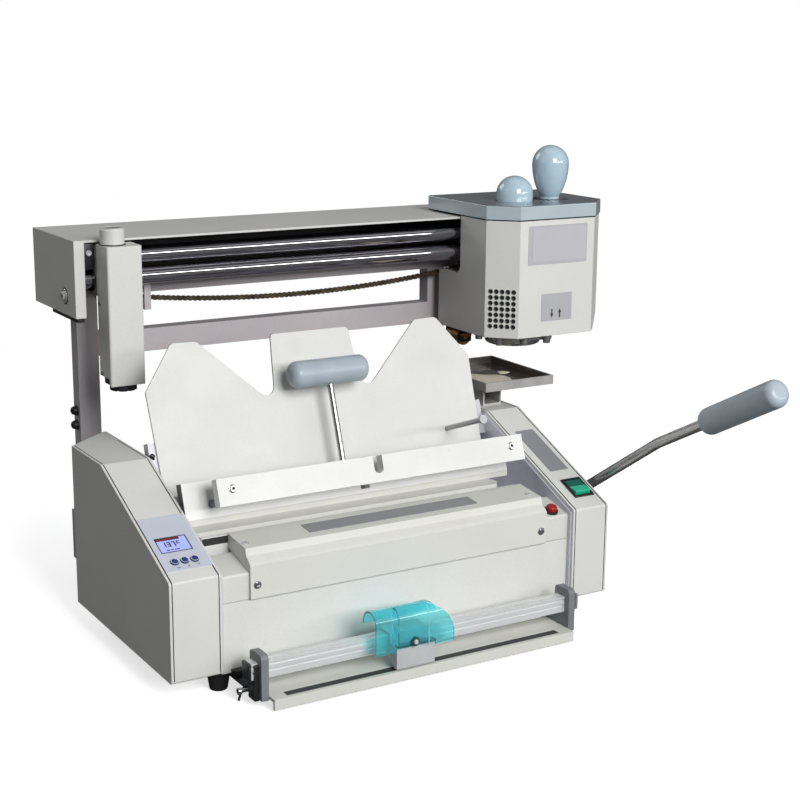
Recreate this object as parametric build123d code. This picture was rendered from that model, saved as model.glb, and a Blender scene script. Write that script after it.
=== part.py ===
from build123d import *

import math
import os

# A desk-top hot-melt book binder. Two sloping side casings carry the body, the nip
# press and the book clamp. Behind them two posts hold a beam with two guide rods, along
# which a milling unit and a glue head travel. A cover creaser hangs on the front.
# Sizes are millimetres. X runs to the right from the left casing's outer face, Y to the
# rear from the casings' front face, and Z up from the casings' lower edge. At the end
# everything is moved, so that the origin is the centre of the footprint at desk height.

# ---- clearances ----
MOVING_GAP = 0.3          # between bodies that move past each other
RUNNING_GAP = 0.05        # radial play of a shaft or rod in its bearing
SEAM = 0.5                # dark joint between neighbouring sheet metal covers
PANEL_PROUD = 1.0         # how far glued-on panels stand out

# ---- side casings ----
CASING_LEFT_WIDTH = 55.0
INNER_SPAN = 425.0
CASING_RIGHT_WIDTH = 48.0
CASING_FRONT_HEIGHT = 103.0
CASING_REAR_HEIGHT = 178.0
CASING_SLOPE_RUN = 176.0
CASING_DEPTH = 307.0
CASING_CORNER_CUT = 44.0
CASING_EDGE_ROUND = 2.5
INNER_WALL_THICKNESS = 2.0
INNER_WALL_INSET = 3.0

# ---- body between the casings ----
BODY_FRONT_Y = 8.0
BODY_HEIGHT = 95.0
COVER_SHEET = 2.5
APRON_BOTTOM = -4.0
SEAM_HEIGHT = 69.5
APRON_FLANGE = 6.0
LEDGE_FRONT_RISE = 2.0
LEDGE_REAR_RISE = 11.6
LEDGE_REAR_Y = 48.0
REAR_BASE_DEPTH = 103.0
REAR_BASE_HEIGHT = 60.0
REAR_BASE_OVERHANG = 6.0

# ---- mains inlet in the rear base ----
INLET_OFFSET = 60.0
INLET_HEIGHT = 30.0
INLET_MOUTH_WIDTH = 24.0
INLET_MOUTH_HEIGHT = 16.0
INLET_DEPTH = 18.0
INLET_WALL = 1.5
INLET_FLANGE = 3.0
INLET_FLANGE_THICKNESS = 2.0
INLET_BLADE_WIDTH = 2.0
INLET_BLADE_HEIGHT = 4.0
INLET_BLADE_LENGTH = 13.0
INLET_BLADE_PITCH = 7.0
INLET_BLADE_STEP = 2.0

# ---- feet ----
FOOT_HEIGHT = 27.0
FOOT_TOP_RADIUS = 12.5
FOOT_BOTTOM_RADIUS = 9.0
FOOT_COLLAR = 6.25
FOOT_EDGE_ROUND = 2.0
FOOT_SIDE_INSET = 7.0
FOOT_FRONT_Y = 28.0
FOOT_REAR_Y = 375.0

# ---- stepped front cover ----
STEP_COVER_INSET = 33.0
STEP_COVER_FRONT_Y = 4.0
STEP_COVER_SHEET = 3.0
STEP_FRONT_LEAN = 1.0
STEP_LIP_CHAMFER = 3.0
STEP_LIP_RISE = 12.8
STEP_RISER_RISE = 17.0
STEP_RISER_Y = 14.0
STEP_RISER_LEAN = 2.0
STEP_TOP_FRONT_RISE = 24.5
STEP_TOP_REAR_RISE = 29.0
STEP_REAR_Y = 56.7
STEP_CHEEK_LIFT = 1.8

# ---- nip press ----
NIP_JAW_THICKNESS = 5.0
NIP_JAW_RISE = 27.5
NIP_JAW_LENGTH = 383.0
NIP_JAW_START = 2.5
NIP_TRAVEL = 5.0
PLATFORM_RISE = 30.0
PLATFORM_DEPTH = 21.8
PLATFORM_LENGTH = 371.0
PLATFORM_CORNER = 10.0

# ---- book clamp ----
JAW_LEAN = 19.5
JAW_THICKNESS = 12.0
REAR_JAW_Y = 89.6
REAR_JAW_RISE = 36.0
REAR_JAW_HEIGHT = 39.0
REAR_JAW_LEFT = -210.0
REAR_JAW_RIGHT = 184.5
FRONT_JAW_HALF = 186.5
FRONT_JAW_RISE = 8.8
FRONT_JAW_HEIGHT = 28.6
CLAMP_TRAVEL = 24.0
CLAMP_SHUT_GAP = 1.0
GUIDE_PIN_RADIUS = 3.75
GUIDE_PIN_OFFSET = 179.0
GUIDE_PIN_RISE = 14.5
GUIDE_PIN_TAIL = 2.0
JAW_NOTCH_WIDTH = 11.0
JAW_NOTCH_DEPTH = 19.0
REAR_SLOT_DEPTH = 34.0
JAW_MOUNT_WIDTH = 20.0
JAW_MOUNT_OFFSET = 150.0

# ---- clamp handle ----
HANDLE_PIVOT_Y = 132.0
HANDLE_PIVOT_RISE = 30.0
HANDLE_ARM = 131.6
HANDLE_ROD_RADIUS = 3.5
HANDLE_HUB_RADIUS = 9.0
HANDLE_HUB_WIDTH = 15.0
HANDLE_SHAFT_RADIUS = 5.0
HANDLE_GRIP_LENGTH = 95.0
HANDLE_GRIP_RADIUS = 15.0
GRIP_END_ROUND = 9.0
PIVOT_EAR_WIDTH = 8.0
PIVOT_EAR_HALF_DEPTH = 11.0
PIVOT_EAR_ROUND = 10.0

# ---- book rest plate ----
REST_LEAN = 20.0
REST_BOTTOM_Y = 165.0
REST_BOTTOM_RISE = 40.0
REST_SHEET = 2.5
REST_HALF_WIDTH_LOW = 201.0
REST_HALF_WIDTH = 204.3
REST_SHOULDER = 113.9
REST_SHOULDER_ROUND = 3.0
REST_PEAK = 163.5
REST_INNER_PEAK = 162.5
REST_OUTER_PEAK_X = 167.3
REST_INNER_PEAK_X = 138.0
REST_NOTCH_X = 56.2
REST_NOTCH_BOTTOM = 83.0
REST_NOTCH_ROUND = 10.4
REST_TAB_HALF = 49.0
REST_PEAK_ROUND = 8.0
REST_TAB_ROUND = 5.5
REST_BRACKET_HEIGHT = 40.0
REST_BRACKET_RISE = 20.0
REST_BRACKET_WIDTH = 14.0
REST_BRACKET_DEPTH = 12.0
STUD_OFFSET = 157.5
STUD_RISE = 31.0
STUD_LENGTH = 81.0
STUD_RADIUS = 3.0
STUD_HEAD_RADIUS = 5.0
STUD_HEAD_LENGTH = 3.0

# ---- press lever ----
LEVER_PIVOT_Y = 110.0
LEVER_PIVOT_Z = 72.0
LEVER_SIDE_GAP = 12.0
LEVER_ROD_RADIUS = 5.75
LEVER_HUB_RADIUS = 14.0
LEVER_HUB_LIP = 1.5
LEVER_SHAFT_RADIUS = 8.0
LEVER_SHAFT_DEPTH = 15.0
LEVER_BEND_Y = -65.5
LEVER_BEND_Z = 187.5
LEVER_BEND_RADIUS = 60.0
LEVER_GRIP_Y = -138.0
LEVER_GRIP_Z = 225.5
LEVER_GRIP_LENGTH = 118.0
LEVER_GRIP_RADIUS = 14.5
LEVER_ROD_SEAT = 60.0

# ---- frame behind ----
POST_LEFT_X = 66.3
POST_SPACING = 473.2
POST_WIDTH = 25.4
POST_FRONT_Y = 385.0
POST_DEPTH = 20.0
RAIL_HEIGHT = 25.0
UPPER_RAIL_BOTTOM = 317.5
LOWER_RAIL_BOTTOM = 247.0
LOWER_RAIL_HEIGHT = 27.0

# ---- rods and beam cover ----
BEAM_LEFT_X = 30.5
BEAM_RIGHT_X = 720.0
BEAM_FRONT_Y = 319.0
BEAM_REAR_Y = 457.0
BEAM_TOP = 391.0
BEAM_SHEET = 2.5
BEAM_CHEEK_BOTTOM = 305.0
BEAM_FLANGE_WIDTH = 12.0
END_PLATE_THICKNESS = 8.0
END_PLATE_BOTTOM = 300.0
ROD_RADIUS = 10.0
ROD_Y = 333.0
ROD_UPPER_Z = 370.0
ROD_LOWER_Z = 346.0

# ---- drive chain ----
CHAIN_PITCH = 6.35
CHAIN_LINKS = 77
CHAIN_MIDDLE_X = 332.0
CHAIN_Y = 375.0
CHAIN_LOW_Z = 301.4
CHAIN_SAG = 18.0
LINK_PLATE_HALF_HEIGHT = 2.7
LINK_PLATE_WAIST = 1.7
LINK_SHOULDER_SHARE = 0.6  # of the plate's half height, either side of a pin
LINK_PLATE_THICKNESS = 0.8
LINK_INNER_HALF = 1.7
LINK_LAYER_GAP = 0.1
CHAIN_PIN_RADIUS = 1.65
CHAIN_STUB_PINS = 2
RETURN_PIN_STEP = 4        # pitches between the return run's pins
SPROCKET_PITCH_RADIUS = 10.25
SPROCKET_TEETH = 10
SPROCKET_ROOT_RADIUS = 7.4
SPROCKET_TIP_RADIUS = 11.2
SPROCKET_HALF_WIDTH = 1.2
SPROCKET_TOOTH_SEAT = 1.0
SPROCKET_TIP_SHARE = 1 / 3  # a tooth's width at its tip, of that at its root
SPROCKET_SHAFT_RADIUS = 4.0
SPROCKET_SHAFT_LIP = 1.0
SPROCKET_BOSS_RADIUS = 7.0
SPROCKET_BOSS_GAP = 2.0

# ---- milling unit ----
MILL_LEFT_X = 55.0
MILL_WIDTH = 40.5
MILL_FRONT_Y = 283.0
MILL_DEPTH = 33.5
MILL_BOTTOM = 232.5
MILL_TOP = 387.0
MILL_NOTCH_HEIGHT = 8.0
MILL_NOTCH_START = 5.0
MILL_CAP_RADIUS = 13.3
MILL_CAP_HEIGHT = 18.0
MILL_CAP_INSET = 14.0
MILL_CAP_Y = 303.0
MILL_CHEEK_THICKNESS = 3.0
MILL_CHEEK_ROD_GAP = 1.0
MILL_CARRIAGE_INSET = 3.0
CARRIAGE_BOTTOM = 331.0
CARRIAGE_TOP = 384.0
CARRIAGE_REAR_Y = 349.5
CUTTER_RADIUS = 15.0
CUTTER_HEIGHT = 6.0
CUTTER_DROP = 7.0
CUTTER_SHAFT_RADIUS = 5.0
CUTTER_BORE_DROP = 60.0
CUTTER_END_GAP = 1.0
CUTTER_TEETH = 8
GULLET_LENGTH = 4.0
GULLET_WIDTH = 3.0
ANCHOR_X = 131.0
ANCHOR_WIDTH = 8.0
ANCHOR_REAR_Y = 368.0
ANCHOR_BOTTOM = 303.0
ANCHOR_SHEET = 3.0
ANCHOR_FOOT_LENGTH = 12.0
ANCHOR_FOOT_HEIGHT = 18.0
ANCHOR_LIP_HEIGHT = 12.0

# ---- glue head ----
HEAD_LEFT_X = 532.0
HEAD_WIDTH = 172.0
HEAD_FRONT_Y = 230.0
HEAD_REAR_Y = 366.0
HEAD_CHAMFER = 30.0
HEAD_BOTTOM = 248.0
HEAD_TOP = 394.0
HEAD_CUT_FRONT_Y = 316.8
HEAD_CUT_BOTTOM = 320.0
HEAD_CUT_ROUND = 10.0
HEAD_CORNER_CUT = 18.0
CAP_HEIGHT = 17.0
CAP_REAR_Y = 392.0
CAP_LIP = 1.0
CAP_EDGE_ROUND = 1.5
VENT_COLUMNS = 5
VENT_ROWS = 7
VENT_PITCH = 7.2
VENT_RADIUS = 2.5
VENT_DEPTH = 4.0
VENT_MIDDLE_Z = 284.0
KNOB_Y = 289.0
KNOB_LEFT_X = 593.0
KNOB_SPACING = 54.0
KNOB_RADIUS = 23.0
KNOB_HEIGHT = 67.0
KNOB_BASE_RADIUS = 12.0
KNOB_TRAVEL = 36.0
KNOB_COLLAR = 3.0
KNOB_STEM_RADIUS = 5.0
KNOB_STEM_REACH = 12.0
KNOB_WELL_GAP = 1.0
KNOB_WELL_DEPTH = 21.0
GLUE_PAN_RADIUS = 35.0
GLUE_PAN_HEIGHT = 15.0
GLUE_PAN_ROUND = 4.0
GLUE_PAN_RIM = 2.0
GLUE_PAN_RIM_HEIGHT = 5.0
GLUE_PAN_X = 592.0
GLUE_PAN_Y = 285.0
HEAD_CARRIAGE_INSET = 20.0
ROLLER_RADIUS = 11.0
ROLLER_LENGTH = 26.0
ROLLER_X = 547.0
ROLLER_FRONT_Y = 328.0
ROLLER_CHEEK = 3.0
ROLLER_CHEEK_INSET = 2.0
ROLLER_SHAFT_RADIUS = 3.0
ROLLER_DROP = 9.0

# ---- drip tray ----
TRAY_LEFT_X = 486.0
TRAY_WIDTH = 99.0
TRAY_FRONT_Y = 186.0
TRAY_DEPTH = 134.0
TRAY_FLOOR_Z = 200.0
TRAY_LIP = 9.0
TRAY_SHEET = 2.0
TRAY_LEG_X = 492.0
TRAY_LEG_WIDTH = 26.0
TRAY_LEG_FRONT_Y = 200.0
TRAY_LEG_DEPTH = 90.0

# ---- control panel and switches ----
PANEL_INSET = 3.4
PANEL_WIDTH = 48.6
PANEL_START = 16.0
PANEL_LENGTH = 81.0
DISPLAY_INSET = 9.3
DISPLAY_WIDTH = 33.2
DISPLAY_START = 42.3
DISPLAY_LENGTH = 22.7
DISPLAY_THICKNESS = 0.8
BUTTON_RADIUS = 4.2
BUTTON_FIRST_X = 16.9
BUTTON_PITCH = 10.55
BUTTON_COUNT = 3
BUTTON_DISTANCE = 27.8
BUTTON_PROUD = 1.6
BUTTON_SUNK = 2.5
BUTTON_TRAVEL = 1.2
BUTTON_EDGE_ROUND = 0.8
BEZEL_INSET = 15.0
BEZEL_WIDTH = 26.0
BEZEL_START = 19.0
BEZEL_LENGTH = 31.5
BEZEL_PROUD = 2.0
BEZEL_RIM = 2.5
ROCKER_DEPTH = 9.0
ROCKER_TILT = 8.0
ROCKER_PROUD = 2.0
ROCKER_DISH = 1.6
ROCKER_TAPER = 2.5
ROCKER_END_GAP = 1.2
ROCKER_EDGE_ROUND = 1.0
ROCKER_PIVOT_DEPTH = 2.0
ROCKER_PIN_RADIUS = 1.2
ROCKER_PIN_REACH = 2.0
STOP_BUTTON_INSET = 18.0
STOP_BUTTON_Y = 18.0
STOP_BUTTON_RADIUS = 6.0
STOP_BUTTON_HEIGHT = 5.0
STOP_COLLAR_HEIGHT = 3.0
STOP_COLLAR_RIM = 1.6
STOP_EDGE_ROUND = 2.0
STOP_TRAVEL = 2.5

# ---- cover creaser ----
CREASER_LEFT_X = 75.0
CREASER_PLATE_THICKNESS = 8.0
CREASER_SPAN = 361.0
CREASER_TOP = 30.0
CREASER_BOTTOM = -17.0
CREASER_FRONT_Y = -44.0
CREASER_PLATE_DEPTH = 26.0
CREASER_ARM_REAR_Y = 40.0
CREASER_CORNER = 5.0
CREASE_RAIL_FRONT_Y = -36.0
CREASE_RAIL_DEPTH = 14.0
CREASE_RAIL_BOTTOM = 3.5
CREASE_RAIL_HEIGHT = 17.0
CREASE_RAIL_OVERHANG = 7.0
CREASE_CAP_THICKNESS = 3.0
RAIL_GROOVE_DEPTH = 1.5
RAIL_GROOVE_HEIGHT = 2.5
RAIL_GROOVE_SHARES = (0.35, 0.72)  # heights of the front grooves, of the rail's height
CREASE_TRAY_FRONT_Y = -55.0
CREASE_TRAY_REAR_Y = -2.5
CREASE_TRAY_TOP = -13.0
CREASE_TRAY_SHEET = 3.0
CREASE_TRAY_SKIRT = 11.0
STRIP_FRONT_Y = -50.0
STRIP_WIDTH = 10.0
STRIP_END_INSET = 16.0
STRIP_THICKNESS = 2.0
BRACKET_LEFT_X = 221.5
BRACKET_WIDTH = 45.0
BRACKET_SHEET = 2.5
BRACKET_FRONT_Y = -54.0
BRACKET_TOP = 10.0
BRACKET_RIDE = 2.0
BRACKET_CHEEK_FOOT = 6.0
SADDLE_WALL = 3.0
SADDLE_LAP = 1.0
LUG_HALF_WIDTH = 5.0
LUG_DROP = 4.0
AXLE_BORE_HALF = 5.0
WHEEL_RADIUS = 8.5
WHEEL_THICKNESS = 3.0
WHEEL_AXLE_RADIUS = 2.0
WHEEL_AXLE_REACH = 1.5
HOOD_LEFT_X = 195.5
HOOD_LENGTH = 68.5
HOOD_WING = 24.0
HOOD_WING_OVERLAP = 7.0
HOOD_SHEET = 2.0
HOOD_FRONT_Y = -57.0
HOOD_RADIUS = 13.5
HOOD_TOP = 53.0
HOOD_SKIRT_BOTTOM = 9.5
HOOD_REAR_BOTTOM = 37.0
HOOD_FOOT_DEPTH = 9.0
HOOD_SIDE_GAP = 2.0

# ---- values that follow from the sizes above ----
RIGHT_INNER_X = CASING_LEFT_WIDTH + INNER_SPAN
RIGHT_OUTER_X = RIGHT_INNER_X + CASING_RIGHT_WIDTH
MIDDLE_X = CASING_LEFT_WIDTH + INNER_SPAN / 2
BODY_LEFT_X = CASING_LEFT_WIDTH + INNER_WALL_THICKNESS
BODY_RIGHT_X = RIGHT_INNER_X - INNER_WALL_THICKNESS
LEDGE_FRONT_HEIGHT = BODY_HEIGHT + LEDGE_FRONT_RISE
LEDGE_REAR_HEIGHT = BODY_HEIGHT + LEDGE_REAR_RISE
STEP_COVER_WIDTH = INNER_SPAN - 2 * STEP_COVER_INSET
STEP_LIP_HEIGHT = BODY_HEIGHT + STEP_LIP_RISE
STEP_RISER_HEIGHT = BODY_HEIGHT + STEP_RISER_RISE
STEP_TOP_FRONT_HEIGHT = BODY_HEIGHT + STEP_TOP_FRONT_RISE
STEP_TOP_REAR_HEIGHT = BODY_HEIGHT + STEP_TOP_REAR_RISE
NIP_JAW_TOP = BODY_HEIGHT + NIP_JAW_RISE
PLATFORM_TOP = BODY_HEIGHT + PLATFORM_RISE
REAR_JAW_BOTTOM = BODY_HEIGHT + REAR_JAW_RISE
HANDLE_PIVOT_Z = BODY_HEIGHT + HANDLE_PIVOT_RISE
REST_BOTTOM_Z = BODY_HEIGHT + REST_BOTTOM_RISE
STOP_BUTTON_X = RIGHT_INNER_X - STOP_BUTTON_INSET
SLOPE_ANGLE = math.degrees(math.atan2(CASING_REAR_HEIGHT - CASING_FRONT_HEIGHT, CASING_SLOPE_RUN))
POST_RIGHT_X = POST_LEFT_X + POST_SPACING
POST_REAR_Y = POST_FRONT_Y + POST_DEPTH
NIP_JAW_FRONT_Y = STEP_REAR_Y + SEAM
NIP_JAW_REAR_Y = NIP_JAW_FRONT_Y + NIP_JAW_THICKNESS
PLATFORM_FRONT_Y = NIP_JAW_REAR_Y + NIP_TRAVEL + MOVING_GAP
CLAMP_OPEN = CLAMP_TRAVEL + CLAMP_SHUT_GAP
LEVER_X = RIGHT_OUTER_X + LEVER_SIDE_GAP
CHAIN_SAG_FACTOR = CHAIN_SAG / (CHAIN_LINKS * CHAIN_PITCH / 2) ** 2
REAR_BASE_REAR_Y = CASING_DEPTH + REAR_BASE_DEPTH
INLET_X = POST_LEFT_X + INLET_OFFSET
HOOD_SEAM_X = HOOD_LEFT_X + HOOD_LENGTH
MILL_RIGHT_X = MILL_LEFT_X + MILL_WIDTH
HEAD_RIGHT_X = HEAD_LEFT_X + HEAD_WIDTH
CREASER_RIGHT_X = CREASER_LEFT_X + CREASER_PLATE_THICKNESS + CREASER_SPAN

TOP_MIN = (Align.CENTER, Align.CENTER, Align.MIN)


# ---- shape helpers ----
def block(low, high):
    """A rectangular solid between two opposite corners."""
    size = [end - start for start, end in zip(low, high)]
    return Pos(*low) * Box(*size, align=Align.MIN)


def bar(start, end, radius):
    """A round bar between two points."""
    span = Vector(*end) - Vector(*start)
    return Plane(origin=start, z_dir=span) * Cylinder(radius, span.length, align=TOP_MIN)


def outline(points, rounds=None):
    """A closed straight-sided face; rounds gives a corner radius by point number."""
    face = make_face(Polyline(*points, close=True))
    for number, radius in (rounds or {}).items():
        spot = Vector(*points[number])
        corner = min(face.vertices(), key=lambda vertex: (Vector(vertex) - spot).length)
        face = fillet(corner, radius)
    return face


def along_x(face, start, end):
    """Extrudes a face drawn as (Y, Z) from one X to another."""
    return extrude(Plane.YZ.offset(start) * face, amount=end - start)


def along_y(face, start, end):
    """Extrudes a face drawn as (X, Z) from one Y to another."""
    plane = Plane(origin=(0, end, 0), x_dir=(1, 0, 0), z_dir=(0, -1, 0))
    return extrude(plane * face, amount=end - start)


def together(*pieces):
    """Separate solids kept in one sub-part."""
    return Compound([solid for piece in pieces for solid in piece.solids()])


def tube_box(low, high, wall, through):
    """A rectangular tube, open along the named axis."""
    inner_low = [low[i] + (0 if axis == through else wall) for i, axis in enumerate("XYZ")]
    inner_high = [high[i] - (0 if axis == through else wall) for i, axis in enumerate("XYZ")]
    return block(low, high) - block(inner_low, inner_high)


def leaning_plane(y, z, lean):
    """A plane that leans back from upright: its normal faces the front."""
    angle = math.radians(lean)
    return Plane(origin=(MIDDLE_X, y, z), x_dir=(1, 0, 0),
                 z_dir=(0, -math.cos(angle), math.sin(angle)))


def slope_plane(x):
    """The casings' sloping face: local Y runs up the slope and Z out of it."""
    angle = math.radians(SLOPE_ANGLE)
    return Plane(origin=(x, 0, CASING_FRONT_HEIGHT), x_dir=(1, 0, 0),
                 z_dir=(0, -math.sin(angle), math.cos(angle)))


# ---- side casings ----
def casing_face(inset):
    """Side view of a casing, drawn as (Y, Z), inset evenly from its edges."""
    rise = inset / math.cos(math.radians(SLOPE_ANGLE))
    return outline([
        (inset, 0), (inset, CASING_FRONT_HEIGHT - rise),
        (CASING_SLOPE_RUN, CASING_REAR_HEIGHT - rise),
        (CASING_DEPTH - inset, CASING_REAR_HEIGHT - rise), (CASING_DEPTH - inset, 0),
    ])


def casing(inner_x, outer_x):
    """A side casing with its rear outer corner cut off in plan."""
    left, right = sorted((inner_x, outer_x))
    shell = along_x(casing_face(0), left, right)
    shell = fillet(shell.edges().filter_by(Axis.X).group_by(Axis.Z)[-1], CASING_EDGE_ROUND)
    shell = fillet(shell.edges().filter_by(Axis.X).sort_by(Axis.Y)[:2], CASING_EDGE_ROUND)
    corner = make_face(Polyline(
        (inner_x, CASING_DEPTH), (outer_x, CASING_DEPTH),
        (outer_x, CASING_DEPTH - CASING_CORNER_CUT), close=True))
    return shell - extrude(corner, amount=CASING_REAR_HEIGHT)


def casing_left():
    """The left casing, with wells for the panel's buttons."""
    shell = casing(CASING_LEFT_WIDTH, 0)
    well_depth = BUTTON_SUNK + BUTTON_TRAVEL + MOVING_GAP
    for x in button_places():
        well = Pos(0, BUTTON_DISTANCE, -well_depth)
        well *= Cylinder(BUTTON_RADIUS + MOVING_GAP, well_depth, align=TOP_MIN)
        shell -= slope_plane(x) * well
    return shell


def casing_right():
    """The right casing, with the rocker's well and the press lever's bearing."""
    shell = casing(RIGHT_INNER_X, RIGHT_OUTER_X)
    pins = rocker_pins(ROCKER_PIN_REACH + MOVING_GAP, ROCKER_PIN_RADIUS + RUNNING_GAP)
    well = slope_plane(RIGHT_INNER_X) * block(
        (BEZEL_INSET + BEZEL_RIM, BEZEL_START + BEZEL_RIM, -ROCKER_DEPTH - MOVING_GAP),
        (BEZEL_INSET + BEZEL_WIDTH - BEZEL_RIM, BEZEL_START + BEZEL_LENGTH - BEZEL_RIM, 0))
    bearing = bar((RIGHT_OUTER_X - LEVER_SHAFT_DEPTH - MOVING_GAP, LEVER_PIVOT_Y, LEVER_PIVOT_Z),
                  (RIGHT_OUTER_X, LEVER_PIVOT_Y, LEVER_PIVOT_Z), LEVER_SHAFT_RADIUS + RUNNING_GAP)
    return shell - well - bearing - pins


def inner_wall(start):
    """The frame's side plate that lines a casing on its inner side."""
    return along_x(casing_face(INNER_WALL_INSET), start, start + INNER_WALL_THICKNESS)


# ---- body ----
def body_housing():
    """The closed housing between the casings."""
    return block((BODY_LEFT_X, BODY_FRONT_Y + COVER_SHEET, 0),
                 (BODY_RIGHT_X, CASING_DEPTH, BODY_HEIGHT))


def front_apron():
    """The lower front sheet, with a flange turned in along its lower edge."""
    sheet = block((BODY_LEFT_X, BODY_FRONT_Y, APRON_BOTTOM),
                  (BODY_RIGHT_X, BODY_FRONT_Y + COVER_SHEET, SEAM_HEIGHT - SEAM))
    flange = block((BODY_LEFT_X, BODY_FRONT_Y, APRON_BOTTOM),
                   (BODY_RIGHT_X, BODY_FRONT_Y + APRON_FLANGE, APRON_BOTTOM + COVER_SHEET))
    return sheet + flange


def front_ledge():
    """The sloping ledge above the apron, with a seat for the stop button."""
    profile = outline([
        (BODY_FRONT_Y, SEAM_HEIGHT), (BODY_FRONT_Y, LEDGE_FRONT_HEIGHT),
        (LEDGE_REAR_Y, LEDGE_REAR_HEIGHT), (LEDGE_REAR_Y, BODY_HEIGHT),
        (BODY_FRONT_Y + COVER_SHEET, BODY_HEIGHT), (BODY_FRONT_Y + COVER_SHEET, SEAM_HEIGHT),
    ], {1: COVER_SHEET})
    ledge = along_x(profile, BODY_LEFT_X, BODY_RIGHT_X)
    well_depth = STOP_TRAVEL + MOVING_GAP
    well = Pos(0, 0, -well_depth) * Cylinder(
        STOP_BUTTON_RADIUS + MOVING_GAP, well_depth + COVER_SHEET, align=TOP_MIN)
    return ledge - ledge_plane() * well


def ledge_plane():
    """The ledge's surface at the stop button: Z points out of it."""
    lean = math.atan2(LEDGE_REAR_HEIGHT - LEDGE_FRONT_HEIGHT, LEDGE_REAR_Y - BODY_FRONT_Y)
    height = LEDGE_FRONT_HEIGHT + (STOP_BUTTON_Y - BODY_FRONT_Y) * math.tan(lean)
    return Plane(origin=(STOP_BUTTON_X, STOP_BUTTON_Y, height), x_dir=(1, 0, 0),
                 z_dir=(0, -math.sin(lean), math.cos(lean)))


def rear_base():
    """The low box behind the casings that the posts stand on."""
    base = block((POST_LEFT_X - POST_WIDTH / 2 - REAR_BASE_OVERHANG, CASING_DEPTH, 0),
                 (POST_RIGHT_X + POST_WIDTH / 2 + REAR_BASE_OVERHANG, REAR_BASE_REAR_Y, REAR_BASE_HEIGHT))
    return base - block(*inlet_box(0, INLET_DEPTH, 0))


def inlet_box(margin, depth, proud):
    """Opposite corners of a box on the mains inlet's axis, that much larger than its mouth."""
    half_width = INLET_MOUTH_WIDTH / 2 + margin
    half_height = INLET_MOUTH_HEIGHT / 2 + margin
    return ((INLET_X - half_width, REAR_BASE_REAR_Y - depth, INLET_HEIGHT - half_height),
            (INLET_X + half_width, REAR_BASE_REAR_Y + proud, INLET_HEIGHT + half_height))


def mains_inlet():
    """The three-bladed mains inlet, open to the rear."""
    flange = block(*inlet_box(INLET_FLANGE, 0, INLET_FLANGE_THICKNESS))
    shell = flange + block(*inlet_box(0, INLET_DEPTH, 0))
    shell -= block(*inlet_box(-INLET_WALL, INLET_DEPTH - INLET_WALL, INLET_FLANGE_THICKNESS))
    floor = REAR_BASE_REAR_Y - INLET_DEPTH + INLET_WALL
    for place in (-1, 0, 1):
        x = INLET_X + place * INLET_BLADE_PITCH
        z = INLET_HEIGHT + (INLET_BLADE_STEP if place == 0 else -INLET_BLADE_STEP)
        shell += block(
            (x - INLET_BLADE_WIDTH / 2, floor, z - INLET_BLADE_HEIGHT / 2),
            (x + INLET_BLADE_WIDTH / 2, floor + INLET_BLADE_LENGTH, z + INLET_BLADE_HEIGHT / 2))
    return shell


def foot(x, y):
    """A tapered rubber foot."""
    profile = outline([(0, -FOOT_HEIGHT), (FOOT_BOTTOM_RADIUS, -FOOT_HEIGHT),
                       (FOOT_TOP_RADIUS, -FOOT_COLLAR), (FOOT_TOP_RADIUS, 0), (0, 0)],
                      {1: FOOT_EDGE_ROUND})
    return Pos(x, y, 0) * revolve(Plane.XZ * profile, Axis.Z)


def stepped_cover():
    """The folded cover over the nip press: front plate, step, riser and top."""
    lip_y = STEP_COVER_FRONT_Y + STEP_FRONT_LEAN
    riser_y = STEP_RISER_Y + STEP_RISER_LEAN
    inside_y = STEP_COVER_FRONT_Y + STEP_COVER_SHEET
    outer = [
        (STEP_COVER_FRONT_Y, SEAM_HEIGHT + SEAM), (lip_y, STEP_LIP_HEIGHT - STEP_LIP_CHAMFER),
        (lip_y + STEP_LIP_CHAMFER, STEP_LIP_HEIGHT), (STEP_RISER_Y, STEP_RISER_HEIGHT),
        (riser_y, STEP_TOP_FRONT_HEIGHT), (STEP_REAR_Y, STEP_TOP_REAR_HEIGHT),
    ]
    inner = [
        (STEP_REAR_Y, STEP_TOP_REAR_HEIGHT - STEP_COVER_SHEET),
        (riser_y + STEP_COVER_SHEET, STEP_TOP_FRONT_HEIGHT - STEP_COVER_SHEET),
        (STEP_RISER_Y + STEP_COVER_SHEET, STEP_RISER_HEIGHT - STEP_COVER_SHEET),
        (inside_y, STEP_LIP_HEIGHT - STEP_COVER_SHEET), (inside_y, SEAM_HEIGHT + SEAM),
    ]
    half = STEP_COVER_WIDTH / 2
    sheet = along_x(outline(outer + inner), MIDDLE_X - half, MIDDLE_X + half)
    cheek_face = outline(outer + [
        (STEP_REAR_Y, LEDGE_REAR_HEIGHT + SEAM + STEP_CHEEK_LIFT),
        (LEDGE_REAR_Y, LEDGE_REAR_HEIGHT + SEAM), (BODY_FRONT_Y, LEDGE_FRONT_HEIGHT + SEAM),
        (BODY_FRONT_Y - SEAM, SEAM_HEIGHT + SEAM)])
    for start in (MIDDLE_X - half, MIDDLE_X + half - STEP_COVER_SHEET):
        sheet += along_x(cheek_face, start, start + STEP_COVER_SHEET)
    return sheet


# ---- nip press ----
def nip_jaw():
    """The sliding front jaw of the nip."""
    start = BODY_LEFT_X + NIP_JAW_START
    return block((start, NIP_JAW_FRONT_Y, BODY_HEIGHT + MOVING_GAP),
                 (start + NIP_JAW_LENGTH, NIP_JAW_REAR_Y, NIP_JAW_TOP))


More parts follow.
